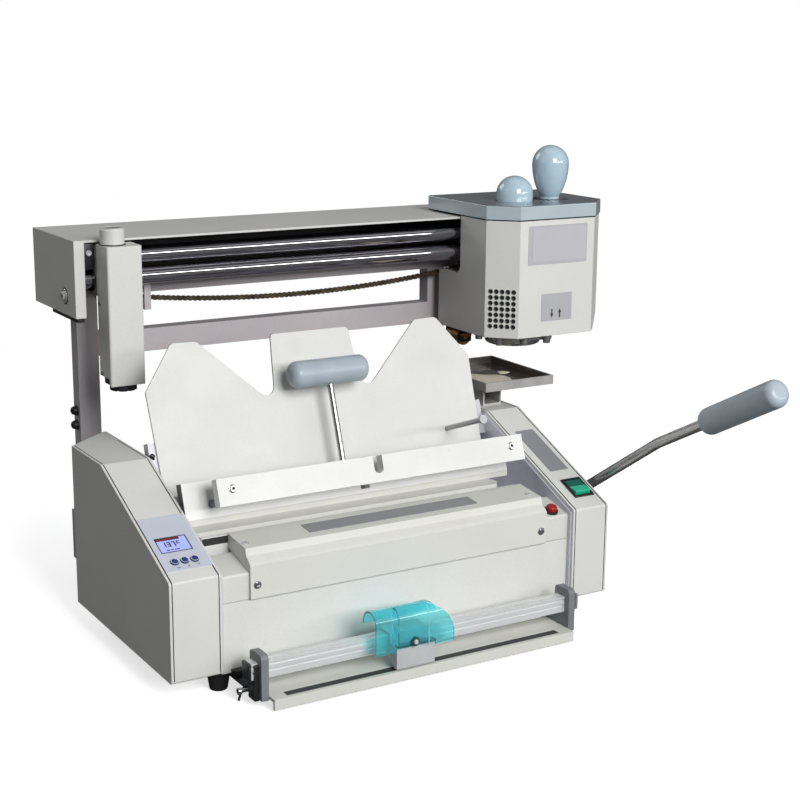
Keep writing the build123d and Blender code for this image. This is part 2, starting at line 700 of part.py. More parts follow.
def nip_platform():
    """The fixed rear jaw of the nip, whose flat top carries the book's cover."""
    face = outline([
        (BODY_LEFT_X, PLATFORM_FRONT_Y), (BODY_LEFT_X + PLATFORM_LENGTH, PLATFORM_FRONT_Y),
        (BODY_LEFT_X + PLATFORM_LENGTH, PLATFORM_FRONT_Y + PLATFORM_DEPTH),
        (BODY_LEFT_X, PLATFORM_FRONT_Y + PLATFORM_DEPTH),
    ], {1: PLATFORM_CORNER, 2: PLATFORM_CORNER})
    return extrude(Plane.XY.offset(BODY_HEIGHT) * face, amount=PLATFORM_TOP - BODY_HEIGHT)


# ---- book clamp ----
def jaw_plane():
    """The rear jaw's face: local Y climbs it and local Z points to the front."""
    return leaning_plane(REAR_JAW_Y, REAR_JAW_BOTTOM, JAW_LEAN)


def jaw_point(rise, forward):
    """The (Y, Z) of a point given by its rise along the jaw and distance in front of it."""
    angle = math.radians(JAW_LEAN)
    return (REAR_JAW_Y + rise * math.sin(angle) - forward * math.cos(angle),
            REAR_JAW_BOTTOM + rise * math.cos(angle) + forward * math.sin(angle))


def rear_jaw():
    """The fixed jaw, slotted for the handle's rod and bored for the guide pins."""
    jaw = block((REAR_JAW_LEFT, 0, -JAW_THICKNESS), (REAR_JAW_RIGHT, REAR_JAW_HEIGHT, 0))
    slot_bottom = REAR_JAW_HEIGHT - REAR_SLOT_DEPTH
    jaw -= block((-JAW_NOTCH_WIDTH / 2, slot_bottom, -JAW_THICKNESS),
                 (JAW_NOTCH_WIDTH / 2, REAR_JAW_HEIGHT, 0))
    for side in (-1, 1):
        jaw -= bar((side * GUIDE_PIN_OFFSET, GUIDE_PIN_RISE, -JAW_THICKNESS),
                   (side * GUIDE_PIN_OFFSET, GUIDE_PIN_RISE, 0), GUIDE_PIN_RADIUS + MOVING_GAP)
    return jaw_plane() * jaw


def jaw_mount(side):
    """A block that carries the rear jaw on the body."""
    middle = MIDDLE_X + side * JAW_MOUNT_OFFSET
    face = outline([
        (PLATFORM_FRONT_Y + PLATFORM_DEPTH + SEAM, BODY_HEIGHT),
        jaw_point(0, -SEAM), jaw_point(0, -JAW_THICKNESS),
        (jaw_point(0, -JAW_THICKNESS)[0], BODY_HEIGHT),
    ])
    return along_x(face, middle - JAW_MOUNT_WIDTH / 2, middle + JAW_MOUNT_WIDTH / 2)


def front_jaw():
    """The sliding clamp bar, with a round-bottomed notch for the handle's rod."""
    top = FRONT_JAW_RISE + FRONT_JAW_HEIGHT
    jaw = block((-FRONT_JAW_HALF, FRONT_JAW_RISE, CLAMP_OPEN),
                (FRONT_JAW_HALF, top, CLAMP_OPEN + JAW_THICKNESS))
    half = JAW_NOTCH_WIDTH / 2
    notch_middle = top - JAW_NOTCH_DEPTH + half
    jaw -= block((-half, notch_middle, CLAMP_OPEN), (half, top, CLAMP_OPEN + JAW_THICKNESS))
    jaw -= bar((0, notch_middle, CLAMP_OPEN), (0, notch_middle, CLAMP_OPEN + JAW_THICKNESS), half)
    return jaw_plane() * jaw


def guide_pin(side):
    """A pin fixed in the sliding bar that runs through the rear jaw."""
    x = side * GUIDE_PIN_OFFSET
    return jaw_plane() * bar((x, GUIDE_PIN_RISE, -JAW_THICKNESS - GUIDE_PIN_TAIL),
                             (x, GUIDE_PIN_RISE, CLAMP_OPEN), GUIDE_PIN_RADIUS)


# ---- clamp handle ----
def handle_point(distance):
    """The centre of the handle's arm at a distance from its pivot."""
    angle = math.radians(JAW_LEAN)
    return (MIDDLE_X, HANDLE_PIVOT_Y + distance * math.sin(angle),
            HANDLE_PIVOT_Z + distance * math.cos(angle))


def handle_rod():
    """The chromed rod with its hub and pivot shaft."""
    rod = bar(handle_point(0), handle_point(HANDLE_ARM), HANDLE_ROD_RADIUS)
    half = HANDLE_HUB_WIDTH / 2
    hub = bar((MIDDLE_X - half, HANDLE_PIVOT_Y, HANDLE_PIVOT_Z),
              (MIDDLE_X + half, HANDLE_PIVOT_Y, HANDLE_PIVOT_Z), HANDLE_HUB_RADIUS)
    reach = half + MOVING_GAP + PIVOT_EAR_WIDTH
    shaft = bar((MIDDLE_X - reach, HANDLE_PIVOT_Y, HANDLE_PIVOT_Z),
                (MIDDLE_X + reach, HANDLE_PIVOT_Y, HANDLE_PIVOT_Z), HANDLE_SHAFT_RADIUS)
    return rod + hub + shaft - handle_grip()


def round_grip(start, end, radius):
    """A round hand grip with softly rounded ends."""
    span = Vector(*end) - Vector(*start)
    body = Cylinder(radius, span.length, align=TOP_MIN)
    body = fillet(body.edges(), GRIP_END_ROUND)
    return Plane(origin=start, z_dir=span) * body


def handle_grip():
    """The cross grip on top of the rod."""
    _, y, z = handle_point(HANDLE_ARM)
    half = HANDLE_GRIP_LENGTH / 2
    return round_grip((MIDDLE_X - half, y, z), (MIDDLE_X + half, y, z), HANDLE_GRIP_RADIUS)


def handle_bracket():
    """Two ears on the body that hold the handle's shaft."""
    near = HANDLE_HUB_WIDTH / 2 + MOVING_GAP
    far = near + PIVOT_EAR_WIDTH
    face = outline([
        (HANDLE_PIVOT_Y - PIVOT_EAR_HALF_DEPTH, BODY_HEIGHT),
        (HANDLE_PIVOT_Y - PIVOT_EAR_HALF_DEPTH, HANDLE_PIVOT_Z + PIVOT_EAR_HALF_DEPTH),
        (HANDLE_PIVOT_Y + PIVOT_EAR_HALF_DEPTH, HANDLE_PIVOT_Z + PIVOT_EAR_HALF_DEPTH),
        (HANDLE_PIVOT_Y + PIVOT_EAR_HALF_DEPTH, BODY_HEIGHT),
    ], {1: PIVOT_EAR_ROUND, 2: PIVOT_EAR_ROUND})
    ears = along_x(face, MIDDLE_X - far, MIDDLE_X - near)
    ears += along_x(face, MIDDLE_X + near, MIDDLE_X + far)
    foot_plate = block(
        (MIDDLE_X - far, HANDLE_PIVOT_Y - PIVOT_EAR_HALF_DEPTH, BODY_HEIGHT),
        (MIDDLE_X + far, HANDLE_PIVOT_Y + PIVOT_EAR_HALF_DEPTH, BODY_HEIGHT + COVER_SHEET))
    bore = bar((MIDDLE_X - far, HANDLE_PIVOT_Y, HANDLE_PIVOT_Z),
               (MIDDLE_X + far, HANDLE_PIVOT_Y, HANDLE_PIVOT_Z), HANDLE_SHAFT_RADIUS + RUNNING_GAP)
    return ears + foot_plate - bore


# ---- book rest plate ----
def rest_plane():
    """The rest plate's front face: local Y climbs it."""
    return leaning_plane(REST_BOTTOM_Y, REST_BOTTOM_Z, REST_LEAN)


def rest_plate():
    """The leaning rest plate, with two deep V notches beside a middle tab."""
    right_half = [
        (REST_HALF_WIDTH_LOW, 0), (REST_HALF_WIDTH, REST_SHOULDER),
        (REST_OUTER_PEAK_X, REST_PEAK), (REST_INNER_PEAK_X, REST_INNER_PEAK),
        (REST_NOTCH_X, REST_NOTCH_BOTTOM), (REST_TAB_HALF, REST_INNER_PEAK),
    ]
    left_half = [(-x, y) for x, y in reversed(right_half)]
    rounds = {1: REST_SHOULDER_ROUND, 2: REST_PEAK_ROUND, 3: REST_PEAK_ROUND,
              4: REST_NOTCH_ROUND, 5: REST_TAB_ROUND}
    last = len(right_half) + len(left_half) - 1
    rounds.update({last - number: radius for number, radius in list(rounds.items())})
    face = outline(right_half + left_half, rounds)
    return rest_plane() * extrude(face, amount=-REST_SHEET)


def rest_bracket(side):
    """The angle that bolts the rest plate to the frame's side plate."""
    wall = INNER_SPAN / 2 - INNER_WALL_THICKNESS
    near, far = sorted((side * wall, side * (wall - REST_BRACKET_WIDTH)))
    return rest_plane() * block(
        (near, REST_BRACKET_RISE, -REST_SHEET - REST_BRACKET_DEPTH),
        (far, REST_BRACKET_RISE + REST_BRACKET_HEIGHT, -REST_SHEET))


def rest_stud():
    """The stud that stands out of the rest plate on the right."""
    shank = bar((STUD_OFFSET, STUD_RISE, 0), (STUD_OFFSET, STUD_RISE, STUD_LENGTH), STUD_RADIUS)
    head = bar((STUD_OFFSET, STUD_RISE, STUD_LENGTH - STUD_HEAD_LENGTH),
               (STUD_OFFSET, STUD_RISE, STUD_LENGTH), STUD_HEAD_RADIUS)
    return rest_plane() * (shank + head)


# ---- press lever ----
def lever_axis_points():
    """Pivot, bend and grip start of the press lever, as (X, Y, Z)."""
    return ((LEVER_X, LEVER_PIVOT_Y, LEVER_PIVOT_Z), (LEVER_X, LEVER_BEND_Y, LEVER_BEND_Z),
            (LEVER_X, LEVER_GRIP_Y, LEVER_GRIP_Z))


def lever_grip_end(distance):
    """A point on the grip's axis at a distance from the grip's lower end."""
    _, bend, grip = lever_axis_points()
    direction = (Vector(*grip) - Vector(*bend)).normalized()
    return tuple(Vector(*grip) + direction * distance)


def press_lever():
    """The bent steel lever, with its hub and the shaft that enters the casing."""
    pivot, bend, _ = lever_axis_points()
    path = FilletPolyline(pivot, bend, lever_grip_end(LEVER_ROD_SEAT), radius=LEVER_BEND_RADIUS)
    rod = sweep(Plane(origin=path @ 0, z_dir=path % 0) * Circle(LEVER_ROD_RADIUS), path=path)
    hub = bar((RIGHT_OUTER_X + MOVING_GAP, LEVER_PIVOT_Y, LEVER_PIVOT_Z),
              (LEVER_X + LEVER_ROD_RADIUS + LEVER_HUB_LIP, LEVER_PIVOT_Y, LEVER_PIVOT_Z),
              LEVER_HUB_RADIUS)
    shaft = bar((RIGHT_OUTER_X - LEVER_SHAFT_DEPTH, LEVER_PIVOT_Y, LEVER_PIVOT_Z),
                (LEVER_X, LEVER_PIVOT_Y, LEVER_PIVOT_Z), LEVER_SHAFT_RADIUS)
    return rod + hub + shaft


def lever_grip():
    """The lever's hand grip, pushed over the rod's end."""
    grip = round_grip(lever_grip_end(0), lever_grip_end(LEVER_GRIP_LENGTH), LEVER_GRIP_RADIUS)
    return grip - bar(lever_grip_end(-GRIP_END_ROUND), lever_grip_end(LEVER_ROD_SEAT), LEVER_ROD_RADIUS)


# ---- frame behind ----
def post(middle_x):
    """An upright of the rear frame."""
    return tube_box((middle_x - POST_WIDTH / 2, POST_FRONT_Y, REAR_BASE_HEIGHT),
                    (middle_x + POST_WIDTH / 2, POST_REAR_Y, UPPER_RAIL_BOTTOM), COVER_SHEET, "Z")


def lower_rail():
    """The cross rail between the posts."""
    return tube_box((POST_LEFT_X + POST_WIDTH / 2, POST_FRONT_Y, LOWER_RAIL_BOTTOM),
                    (POST_RIGHT_X - POST_WIDTH / 2, POST_REAR_Y, LOWER_RAIL_BOTTOM + LOWER_RAIL_HEIGHT),
                    COVER_SHEET, "X")


def upper_rail():
    """The rail on top of the posts that carries the end plates and sprocket shafts."""
    return block((BEAM_LEFT_X + BEAM_SHEET + END_PLATE_THICKNESS, POST_FRONT_Y, UPPER_RAIL_BOTTOM),
                 (BEAM_RIGHT_X - BEAM_SHEET - END_PLATE_THICKNESS, POST_REAR_Y,
                  UPPER_RAIL_BOTTOM + RAIL_HEIGHT))


def end_plate(start):
    """A plate at the beam's end that holds the guide rods."""
    plate = block((start, BEAM_FRONT_Y + BEAM_SHEET, END_PLATE_BOTTOM),
                  (start + END_PLATE_THICKNESS, POST_REAR_Y, BEAM_TOP - BEAM_SHEET))
    for height in (ROD_UPPER_Z, ROD_LOWER_Z):
        plate -= bar((start, ROD_Y, height), (start + END_PLATE_THICKNESS, ROD_Y, height), ROD_RADIUS)
    return plate


def guide_rod(height):
    """A guide rod, held in both end plates."""
    return bar((BEAM_LEFT_X + BEAM_SHEET, ROD_Y, height),
               (BEAM_RIGHT_X - BEAM_SHEET, ROD_Y, height), ROD_RADIUS)


def beam_cover():
    """The long sheet cover: top, rear, two cheeks and their narrow front flanges."""
    sheet = block((BEAM_LEFT_X, BEAM_FRONT_Y, BEAM_TOP - BEAM_SHEET),
                  (BEAM_RIGHT_X, BEAM_REAR_Y, BEAM_TOP))
    sheet += block((BEAM_LEFT_X, BEAM_REAR_Y - BEAM_SHEET, BEAM_CHEEK_BOTTOM),
                   (BEAM_RIGHT_X, BEAM_REAR_Y, BEAM_TOP))
    for outer, inward in ((BEAM_LEFT_X, 1), (BEAM_RIGHT_X, -1)):
        inner = outer + inward * BEAM_SHEET
        flange = outer + inward * BEAM_FLANGE_WIDTH
        sheet += block((min(outer, inner), BEAM_FRONT_Y, BEAM_CHEEK_BOTTOM),
                       (max(outer, inner), BEAM_REAR_Y, BEAM_TOP))
        sheet += block((min(outer, flange), BEAM_FRONT_Y, BEAM_CHEEK_BOTTOM),
                       (max(outer, flange), BEAM_FRONT_Y + BEAM_SHEET, BEAM_TOP))
    return sheet


# ---- drive chain ----
def chain_height(x):
    """Height of the sagging lower run."""
    return CHAIN_LOW_Z + CHAIN_SAG_FACTOR * (x - CHAIN_MIDDLE_X) ** 2


def chain_pins():
    """Pin centres (X, Z) of the lower run, one pitch apart, worked out from its middle."""
    right = []
    x = CHAIN_MIDDLE_X
    step = CHAIN_PITCH / 2
    for _ in range((CHAIN_LINKS + 1) // 2):
        slope = 2 * CHAIN_SAG_FACTOR * (x + step / 2 - CHAIN_MIDDLE_X)
        x += step / math.hypot(1, slope)
        right.append((x, chain_height(x)))
        step = CHAIN_PITCH
    left = [(2 * CHAIN_MIDDLE_X - x, z) for x, z in reversed(right)]
    return left + right


def link_face(start, end):
    """A waisted link plate between two pins, as a face in (X, Z)."""
    along = Vector(end[0] - start[0], end[1] - start[1])
    tilt = math.degrees(math.atan2(along.Y, along.X))
    half = along.length / 2
    reach = half + LINK_PLATE_HALF_HEIGHT
    shoulder = LINK_PLATE_HALF_HEIGHT * LINK_SHOULDER_SHARE
    right = [(half - shoulder, LINK_PLATE_HALF_HEIGHT), (half + shoulder, LINK_PLATE_HALF_HEIGHT),
             (reach, 0), (half + shoulder, -LINK_PLATE_HALF_HEIGHT),
             (half - shoulder, -LINK_PLATE_HALF_HEIGHT)]
    waist = [(0, -LINK_PLATE_WAIST)]
    left = [(-x, -z) for x, z in right]
    face = make_face(Polyline(*(right + waist + left + [(0, LINK_PLATE_WAIST)]), close=True))
    middle = ((start[0] + end[0]) / 2, (start[1] + end[1]) / 2)
    return Pos(*middle) * Rot(0, 0, tilt) * face


def chain_run():
    """The open lower run: alternating inner and outer link plates on their pins.

    Within a sprocket's reach the pins are stubs in the plates, which leave its teeth free to turn.
    """
    pins = chain_pins()
    inner_start = LINK_INNER_HALF
    outer_start = inner_start + LINK_PLATE_THICKNESS
    outer_end = outer_start + LINK_PLATE_THICKNESS
    pieces = []
    for number in range(len(pins) - 1):
        face = link_face(pins[number], pins[number + 1])
        near = inner_start if number % 2 == 0 else outer_start
        for offset in (near, -near - LINK_PLATE_THICKNESS):
            pieces.append(along_y(face, CHAIN_Y + offset, CHAIN_Y + offset + LINK_PLATE_THICKNESS))
    for number, (x, z) in enumerate(pins):
        from_end = min(number, len(pins) - 1 - number)
        half = outer_start if from_end == 0 else outer_end
        roller = Pos(x, z) * RegularPolygon(CHAIN_PIN_RADIUS, 6)
        if from_end < CHAIN_STUB_PINS:
            pieces.append(along_y(roller, CHAIN_Y - half, CHAIN_Y - inner_start))
            pieces.append(along_y(roller, CHAIN_Y + inner_start, CHAIN_Y + half))
        else:
            pieces.append(along_y(roller, CHAIN_Y - half, CHAIN_Y + half))
    return pieces[0].fuse(*pieces[1:])


def sprocket_places():
    """Centres (X, Z) of the two sprockets, above the ends of the lower run."""
    pins = chain_pins()
    return [(x, z + SPROCKET_PITCH_RADIUS) for x, z in (pins[0], pins[-1])]


def chain_return():
    """The plain return run: two link strips round both sprockets, joined by pins on top."""
    (left, height), (right, _) = sprocket_places()
    span = right - left
    outer = SlotCenterToCenter(span, 2 * (SPROCKET_PITCH_RADIUS + LINK_PLATE_HALF_HEIGHT))
    inner = SlotCenterToCenter(span, 2 * (SPROCKET_PITCH_RADIUS - LINK_PLATE_HALF_HEIGHT))
    open_side = Pos(0, -SPROCKET_PITCH_RADIUS) * Rectangle(span, 2 * SPROCKET_PITCH_RADIUS)
    strip = Pos(left + span / 2, height) * (outer - inner - open_side)
    near = LINK_INNER_HALF + LINK_PLATE_THICKNESS + LINK_LAYER_GAP
    far = near + LINK_PLATE_THICKNESS
    loop = along_y(strip, CHAIN_Y - far, CHAIN_Y - near)
    loop += along_y(strip, CHAIN_Y + near, CHAIN_Y + far)
    pitches = int(span // CHAIN_PITCH)
    for number in range(RETURN_PIN_STEP, pitches - RETURN_PIN_STEP + 1, RETURN_PIN_STEP):
        x = left + number * CHAIN_PITCH
        z = height + SPROCKET_PITCH_RADIUS
        loop += bar((x, CHAIN_Y - far, z), (x, CHAIN_Y + far, z), CHAIN_PIN_RADIUS)
    return loop


def sprocket(place):
    """A ten-tooth sprocket with its shaft, which turns in a boss on the upper rail."""
    x, z = place
    teeth = Circle(SPROCKET_ROOT_RADIUS)
    root_half = SPROCKET_ROOT_RADIUS * math.sin(math.pi / SPROCKET_TEETH)
    tip_half = root_half * SPROCKET_TIP_SHARE
    seat = SPROCKET_ROOT_RADIUS - SPROCKET_TOOTH_SEAT
    for number in range(SPROCKET_TEETH):
        tooth = make_face(Polyline((seat, -root_half), (SPROCKET_TIP_RADIUS, -tip_half),
                                   (SPROCKET_TIP_RADIUS, tip_half), (seat, root_half), close=True))
        teeth += Rot(0, 0, number * 360 / SPROCKET_TEETH) * tooth
    wheel = along_y(Pos(x, z) * teeth, CHAIN_Y - SPROCKET_HALF_WIDTH, CHAIN_Y + SPROCKET_HALF_WIDTH)
    shaft = bar((x, CHAIN_Y - SPROCKET_HALF_WIDTH - SPROCKET_SHAFT_LIP, z),
                (x, POST_FRONT_Y - MOVING_GAP, z), SPROCKET_SHAFT_RADIUS)
    return wheel + shaft


def sprocket_boss(place):
    """The bearing on the upper rail's front for a sprocket's shaft."""
    x, z = place
    chain_rear = CHAIN_Y + LINK_INNER_HALF + 2 * LINK_PLATE_THICKNESS + LINK_LAYER_GAP
    start = chain_rear + SPROCKET_BOSS_GAP
    boss = bar((x, start, z), (x, POST_FRONT_Y, z), SPROCKET_BOSS_RADIUS)
    return boss - bar((x, start, z), (x, POST_FRONT_Y, z), SPROCKET_SHAFT_RADIUS + RUNNING_GAP)


# ---- milling unit ----
def mill_housing():
    """The tall box of the milling unit, notched at the bottom for the cutter."""
    rear = MILL_FRONT_Y + MILL_DEPTH
    shell = block((MILL_LEFT_X, MILL_FRONT_Y, MILL_BOTTOM), (MILL_RIGHT_X, rear, MILL_TOP))
    shell = fillet(shell.edges().filter_by(Axis.Z).group_by(Axis.Y)[0], CASING_EDGE_ROUND)
    notch = block((MILL_LEFT_X, MILL_FRONT_Y + MILL_NOTCH_START, MILL_BOTTOM),
                  (MILL_RIGHT_X, rear, MILL_BOTTOM + MILL_NOTCH_HEIGHT))
    bore = bar((mill_axis()[0], mill_axis()[1], MILL_BOTTOM),
               (mill_axis()[0], mill_axis()[1], MILL_TOP - CUTTER_BORE_DROP),
               CUTTER_SHAFT_RADIUS + RUNNING_GAP)
    return shell - notch - bore


def mill_axis():
    """The cutter's upright axis (X, Y)."""
    return MILL_LEFT_X + MILL_WIDTH / 2, MILL_FRONT_Y + MILL_DEPTH / 2


def mill_cheek():
    """The side cheek that reaches back past the rods, with a clearance hole for each."""
    right = MILL_LEFT_X + MILL_CHEEK_THICKNESS
    cheek = block((MILL_LEFT_X, MILL_FRONT_Y + MILL_DEPTH, CARRIAGE_BOTTOM),
                  (right, CARRIAGE_REAR_Y, CARRIAGE_TOP))
    for height in (ROD_UPPER_Z, ROD_LOWER_Z):
        cheek -= bar((MILL_LEFT_X, ROD_Y, height), (right, ROD_Y, height),
                     ROD_RADIUS + MILL_CHEEK_ROD_GAP)
    return cheek


def rod_carriage(left, right, front):
    """A bearing block that runs on both rods."""
    carriage = block((left, front, CARRIAGE_BOTTOM), (right, CARRIAGE_REAR_Y, CARRIAGE_TOP))
    for height in (ROD_UPPER_Z, ROD_LOWER_Z):
        carriage -= bar((left, ROD_Y, height), (right, ROD_Y, height), ROD_RADIUS + RUNNING_GAP)
    return carriage


def mill_carriage():
    """The milling unit's bearing block."""
    return rod_carriage(MILL_LEFT_X + MILL_CHEEK_THICKNESS, MILL_RIGHT_X - MILL_CARRIAGE_INSET,
                        MILL_FRONT_Y + MILL_DEPTH)


def chain_anchor():
    """The folded bracket that ties the milling carriage to the chain."""
    left = MILL_RIGHT_X - MILL_CARRIAGE_INSET - ANCHOR_FOOT_LENGTH
    arm_left = ANCHOR_X - ANCHOR_WIDTH
    foot_top = CARRIAGE_BOTTOM + ANCHOR_FOOT_HEIGHT
    foot_plate = block((left, CARRIAGE_REAR_Y, CARRIAGE_BOTTOM),
                       (ANCHOR_X, CARRIAGE_REAR_Y + ANCHOR_SHEET, foot_top))
    arm = block((arm_left, CARRIAGE_REAR_Y, ANCHOR_BOTTOM),
                (ANCHOR_X, CARRIAGE_REAR_Y + ANCHOR_SHEET, foot_top))
    shelf = block((arm_left, CARRIAGE_REAR_Y, ANCHOR_BOTTOM),
                  (ANCHOR_X, ANCHOR_REAR_Y, ANCHOR_BOTTOM + ANCHOR_SHEET))
    lip = block((arm_left, ANCHOR_REAR_Y - ANCHOR_SHEET, ANCHOR_BOTTOM),
                (ANCHOR_X, ANCHOR_REAR_Y, ANCHOR_BOTTOM + ANCHOR_LIP_HEIGHT))
    return foot_plate + arm + shelf + lip


def mill_cap():
    """The round cap over the milling motor."""
    cap = Cylinder(MILL_CAP_RADIUS, MILL_CAP_HEIGHT, align=TOP_MIN)
    cap = fillet(cap.edges().sort_by(Axis.Z)[-1], CAP_EDGE_ROUND)
    return Pos(MILL_LEFT_X + MILL_CAP_INSET, MILL_CAP_Y, MILL_TOP) * cap


def cutter():
    """The milling cutter: a toothed disc on its spindle."""
    x, y = mill_axis()
    bottom = MILL_BOTTOM - CUTTER_DROP
    disc = Pos(x, y, bottom) * Cylinder(CUTTER_RADIUS, CUTTER_HEIGHT, align=TOP_MIN)
    for number in range(CUTTER_TEETH):
        gullet = Pos(CUTTER_RADIUS, 0, 0) * Box(GULLET_LENGTH, GULLET_WIDTH, CUTTER_HEIGHT, align=TOP_MIN)
        disc -= Pos(x, y, bottom) * Rot(0, 0, number * 360 / CUTTER_TEETH) * gullet
    top = MILL_TOP - CUTTER_BORE_DROP - CUTTER_END_GAP
    return disc + bar((x, y, bottom + CUTTER_HEIGHT), (x, y, top), CUTTER_SHAFT_RADIUS)


# ---- glue head ----
def head_plan(front_margin=0.0, rear=HEAD_REAR_Y):
    """Plan of the glue head: a rectangle with both front corners cut."""
    low_x = HEAD_LEFT_X - front_margin
    high_x = HEAD_RIGHT_X + front_margin
    front = HEAD_FRONT_Y - front_margin
    return outline([
        (low_x, rear), (low_x, front + HEAD_CHAMFER), (low_x + HEAD_CHAMFER, front),
        (high_x - HEAD_CHAMFER, front), (high_x, front + HEAD_CHAMFER), (high_x, rear),
    ])


def head_vents():
    """The round vent holes in the left chamfered face, in rows and columns."""
    middle = Vector(HEAD_LEFT_X + HEAD_CHAMFER / 2, HEAD_FRONT_Y + HEAD_CHAMFER / 2, VENT_MIDDLE_Z)
    face = Plane(origin=middle, x_dir=(1, -1, 0), z_dir=(-1, -1, 0))
    holes = []
    for column in range(VENT_COLUMNS):
        for row in range(VENT_ROWS):
            across = (column - (VENT_COLUMNS - 1) / 2) * VENT_PITCH
            up = (row - (VENT_ROWS - 1) / 2) * VENT_PITCH
            holes.append(face * (Pos(across, up, -VENT_DEPTH) * Cylinder(
                VENT_RADIUS, VENT_DEPTH, align=TOP_MIN)))
    return holes


def knob_places():
    """Centres (X) of the left and the right knob."""
    return KNOB_LEFT_X, KNOB_LEFT_X + KNOB_SPACING


def knob_well(x, bottom, top):
    """The round well that a knob sinks into."""
    return bar((x, KNOB_Y, bottom), (x, KNOB_Y, top), KNOB_RADIUS + KNOB_WELL_GAP)


def head_housing():
    """The glue head's housing, cut away at the rear for the rods and the beam."""
    shell = extrude(Plane.XY.offset(HEAD_BOTTOM) * head_plan(), amount=HEAD_TOP - HEAD_BOTTOM)
    cut_face = outline([
        (HEAD_CUT_FRONT_Y, HEAD_TOP), (HEAD_CUT_FRONT_Y, HEAD_CUT_BOTTOM),
        (HEAD_REAR_Y, HEAD_CUT_BOTTOM), (HEAD_REAR_Y, HEAD_TOP),
    ], {1: HEAD_CUT_ROUND})
    shell -= along_x(cut_face, HEAD_LEFT_X, HEAD_RIGHT_X)
    corner = outline([
        (HEAD_RIGHT_X - HEAD_CORNER_CUT, HEAD_BOTTOM), (HEAD_RIGHT_X, HEAD_BOTTOM),
        (HEAD_RIGHT_X, HEAD_BOTTOM + HEAD_CORNER_CUT)])
    shell -= along_y(corner, HEAD_FRONT_Y, HEAD_REAR_Y)
    for hole in head_vents():
        shell -= hole
    for x in knob_places():
        well_bottom = HEAD_TOP - KNOB_WELL_DEPTH
        shell -= knob_well(x, well_bottom, HEAD_TOP)
        guide_bottom = well_bottom - KNOB_TRAVEL - KNOB_STEM_REACH - MOVING_GAP
        shell -= bar((x, KNOB_Y, guide_bottom), (x, KNOB_Y, well_bottom),
                     KNOB_STEM_RADIUS + MOVING_GAP)
    return shell


def head_cap():
    """The cap over the glue head, with the two knob wells."""
    cap = extrude(Plane.XY.offset(HEAD_TOP) * head_plan(CAP_LIP, CAP_REAR_Y), amount=CAP_HEIGHT)
    cap = fillet(cap.edges().group_by(Axis.Z)[-1], CAP_EDGE_ROUND)
    for x in knob_places():
        cap -= knob_well(x, HEAD_TOP, HEAD_TOP + CAP_HEIGHT)
    return cap


def head_carriage():
    """The glue head's bearing block."""
    return rod_carriage(HEAD_LEFT_X + HEAD_CARRIAGE_INSET, HEAD_RIGHT_X - HEAD_CARRIAGE_INSET,
                        HEAD_CUT_FRONT_Y)


def knob(x, lowered):
    """An egg-shaped knob on its stem."""
    base = HEAD_TOP + CAP_HEIGHT - lowered
    widest = KNOB_HEIGHT - KNOB_RADIUS
    stem = CAP_HEIGHT + KNOB_WELL_DEPTH + KNOB_STEM_REACH
    lower = Polyline((0, -stem), (KNOB_STEM_RADIUS, -stem), (KNOB_STEM_RADIUS, 0),
                     (KNOB_BASE_RADIUS, 0), (KNOB_BASE_RADIUS, KNOB_COLLAR))
    flank = TangentArc((KNOB_RADIUS, widest), (KNOB_BASE_RADIUS, KNOB_COLLAR),
                       tangent=(0, -1))
    dome = CenterArc((0, widest), KNOB_RADIUS, 0, 90)
    axis = Line((0, widest + KNOB_RADIUS), (0, -stem))
    face = make_face(lower.edges() + flank.edges() + dome.edges() + axis.edges())
    return Pos(x, KNOB_Y, base) * revolve(Plane.XZ * face, Axis.Z)


def glue_pan():
    """The round heated glue pan under the head."""
    pan = Cylinder(GLUE_PAN_RADIUS, GLUE_PAN_HEIGHT, align=TOP_MIN)
    pan = fillet(pan.edges().sort_by(Axis.Z)[0], GLUE_PAN_ROUND)
    rim = Pos(0, 0, GLUE_PAN_HEIGHT - GLUE_PAN_RIM_HEIGHT) * Cylinder(
        GLUE_PAN_RADIUS + GLUE_PAN_RIM, GLUE_PAN_RIM_HEIGHT, align=TOP_MIN)
    return Pos(GLUE_PAN_X, GLUE_PAN_Y, HEAD_BOTTOM - GLUE_PAN_HEIGHT) * (pan + rim)


def roller_axis_z():
    """Height of the glue roller's axis."""
    return HEAD_BOTTOM - ROLLER_DROP - ROLLER_SHAFT_RADIUS


def roller_yoke():
    """Two cheeks under the head that carry the glue roller, joined by a web above it."""
    axis_z = roller_axis_z()
    low_z = axis_z - 2 * ROLLER_SHAFT_RADIUS
    half = ROLLER_RADIUS - ROLLER_CHEEK_INSET
    front = ROLLER_FRONT_Y - MOVING_GAP - ROLLER_CHEEK
    rear = ROLLER_FRONT_Y + ROLLER_LENGTH + MOVING_GAP + ROLLER_CHEEK
    yoke = block((ROLLER_X - half, front, axis_z + ROLLER_RADIUS + MOVING_GAP),
                 (ROLLER_X + half, rear, HEAD_BOTTOM))
    for start in (front, rear - ROLLER_CHEEK):
        yoke += block((ROLLER_X - half, start, low_z),
                      (ROLLER_X + half, start + ROLLER_CHEEK, HEAD_BOTTOM))
    return yoke - bar((ROLLER_X, front, axis_z), (ROLLER_X, rear, axis_z),
                      ROLLER_SHAFT_RADIUS + RUNNING_GAP)


def glue_roller():
    """The roller that lays glue on the spine."""
    z = roller_axis_z()
    rear = ROLLER_FRONT_Y + ROLLER_LENGTH
    roller = bar((ROLLER_X, ROLLER_FRONT_Y, z), (ROLLER_X, rear, z), ROLLER_RADIUS)
    shaft = bar((ROLLER_X, ROLLER_FRONT_Y - ROLLER_CHEEK, z), (ROLLER_X, rear + ROLLER_CHEEK, z),
                ROLLER_SHAFT_RADIUS)
    return roller + shaft


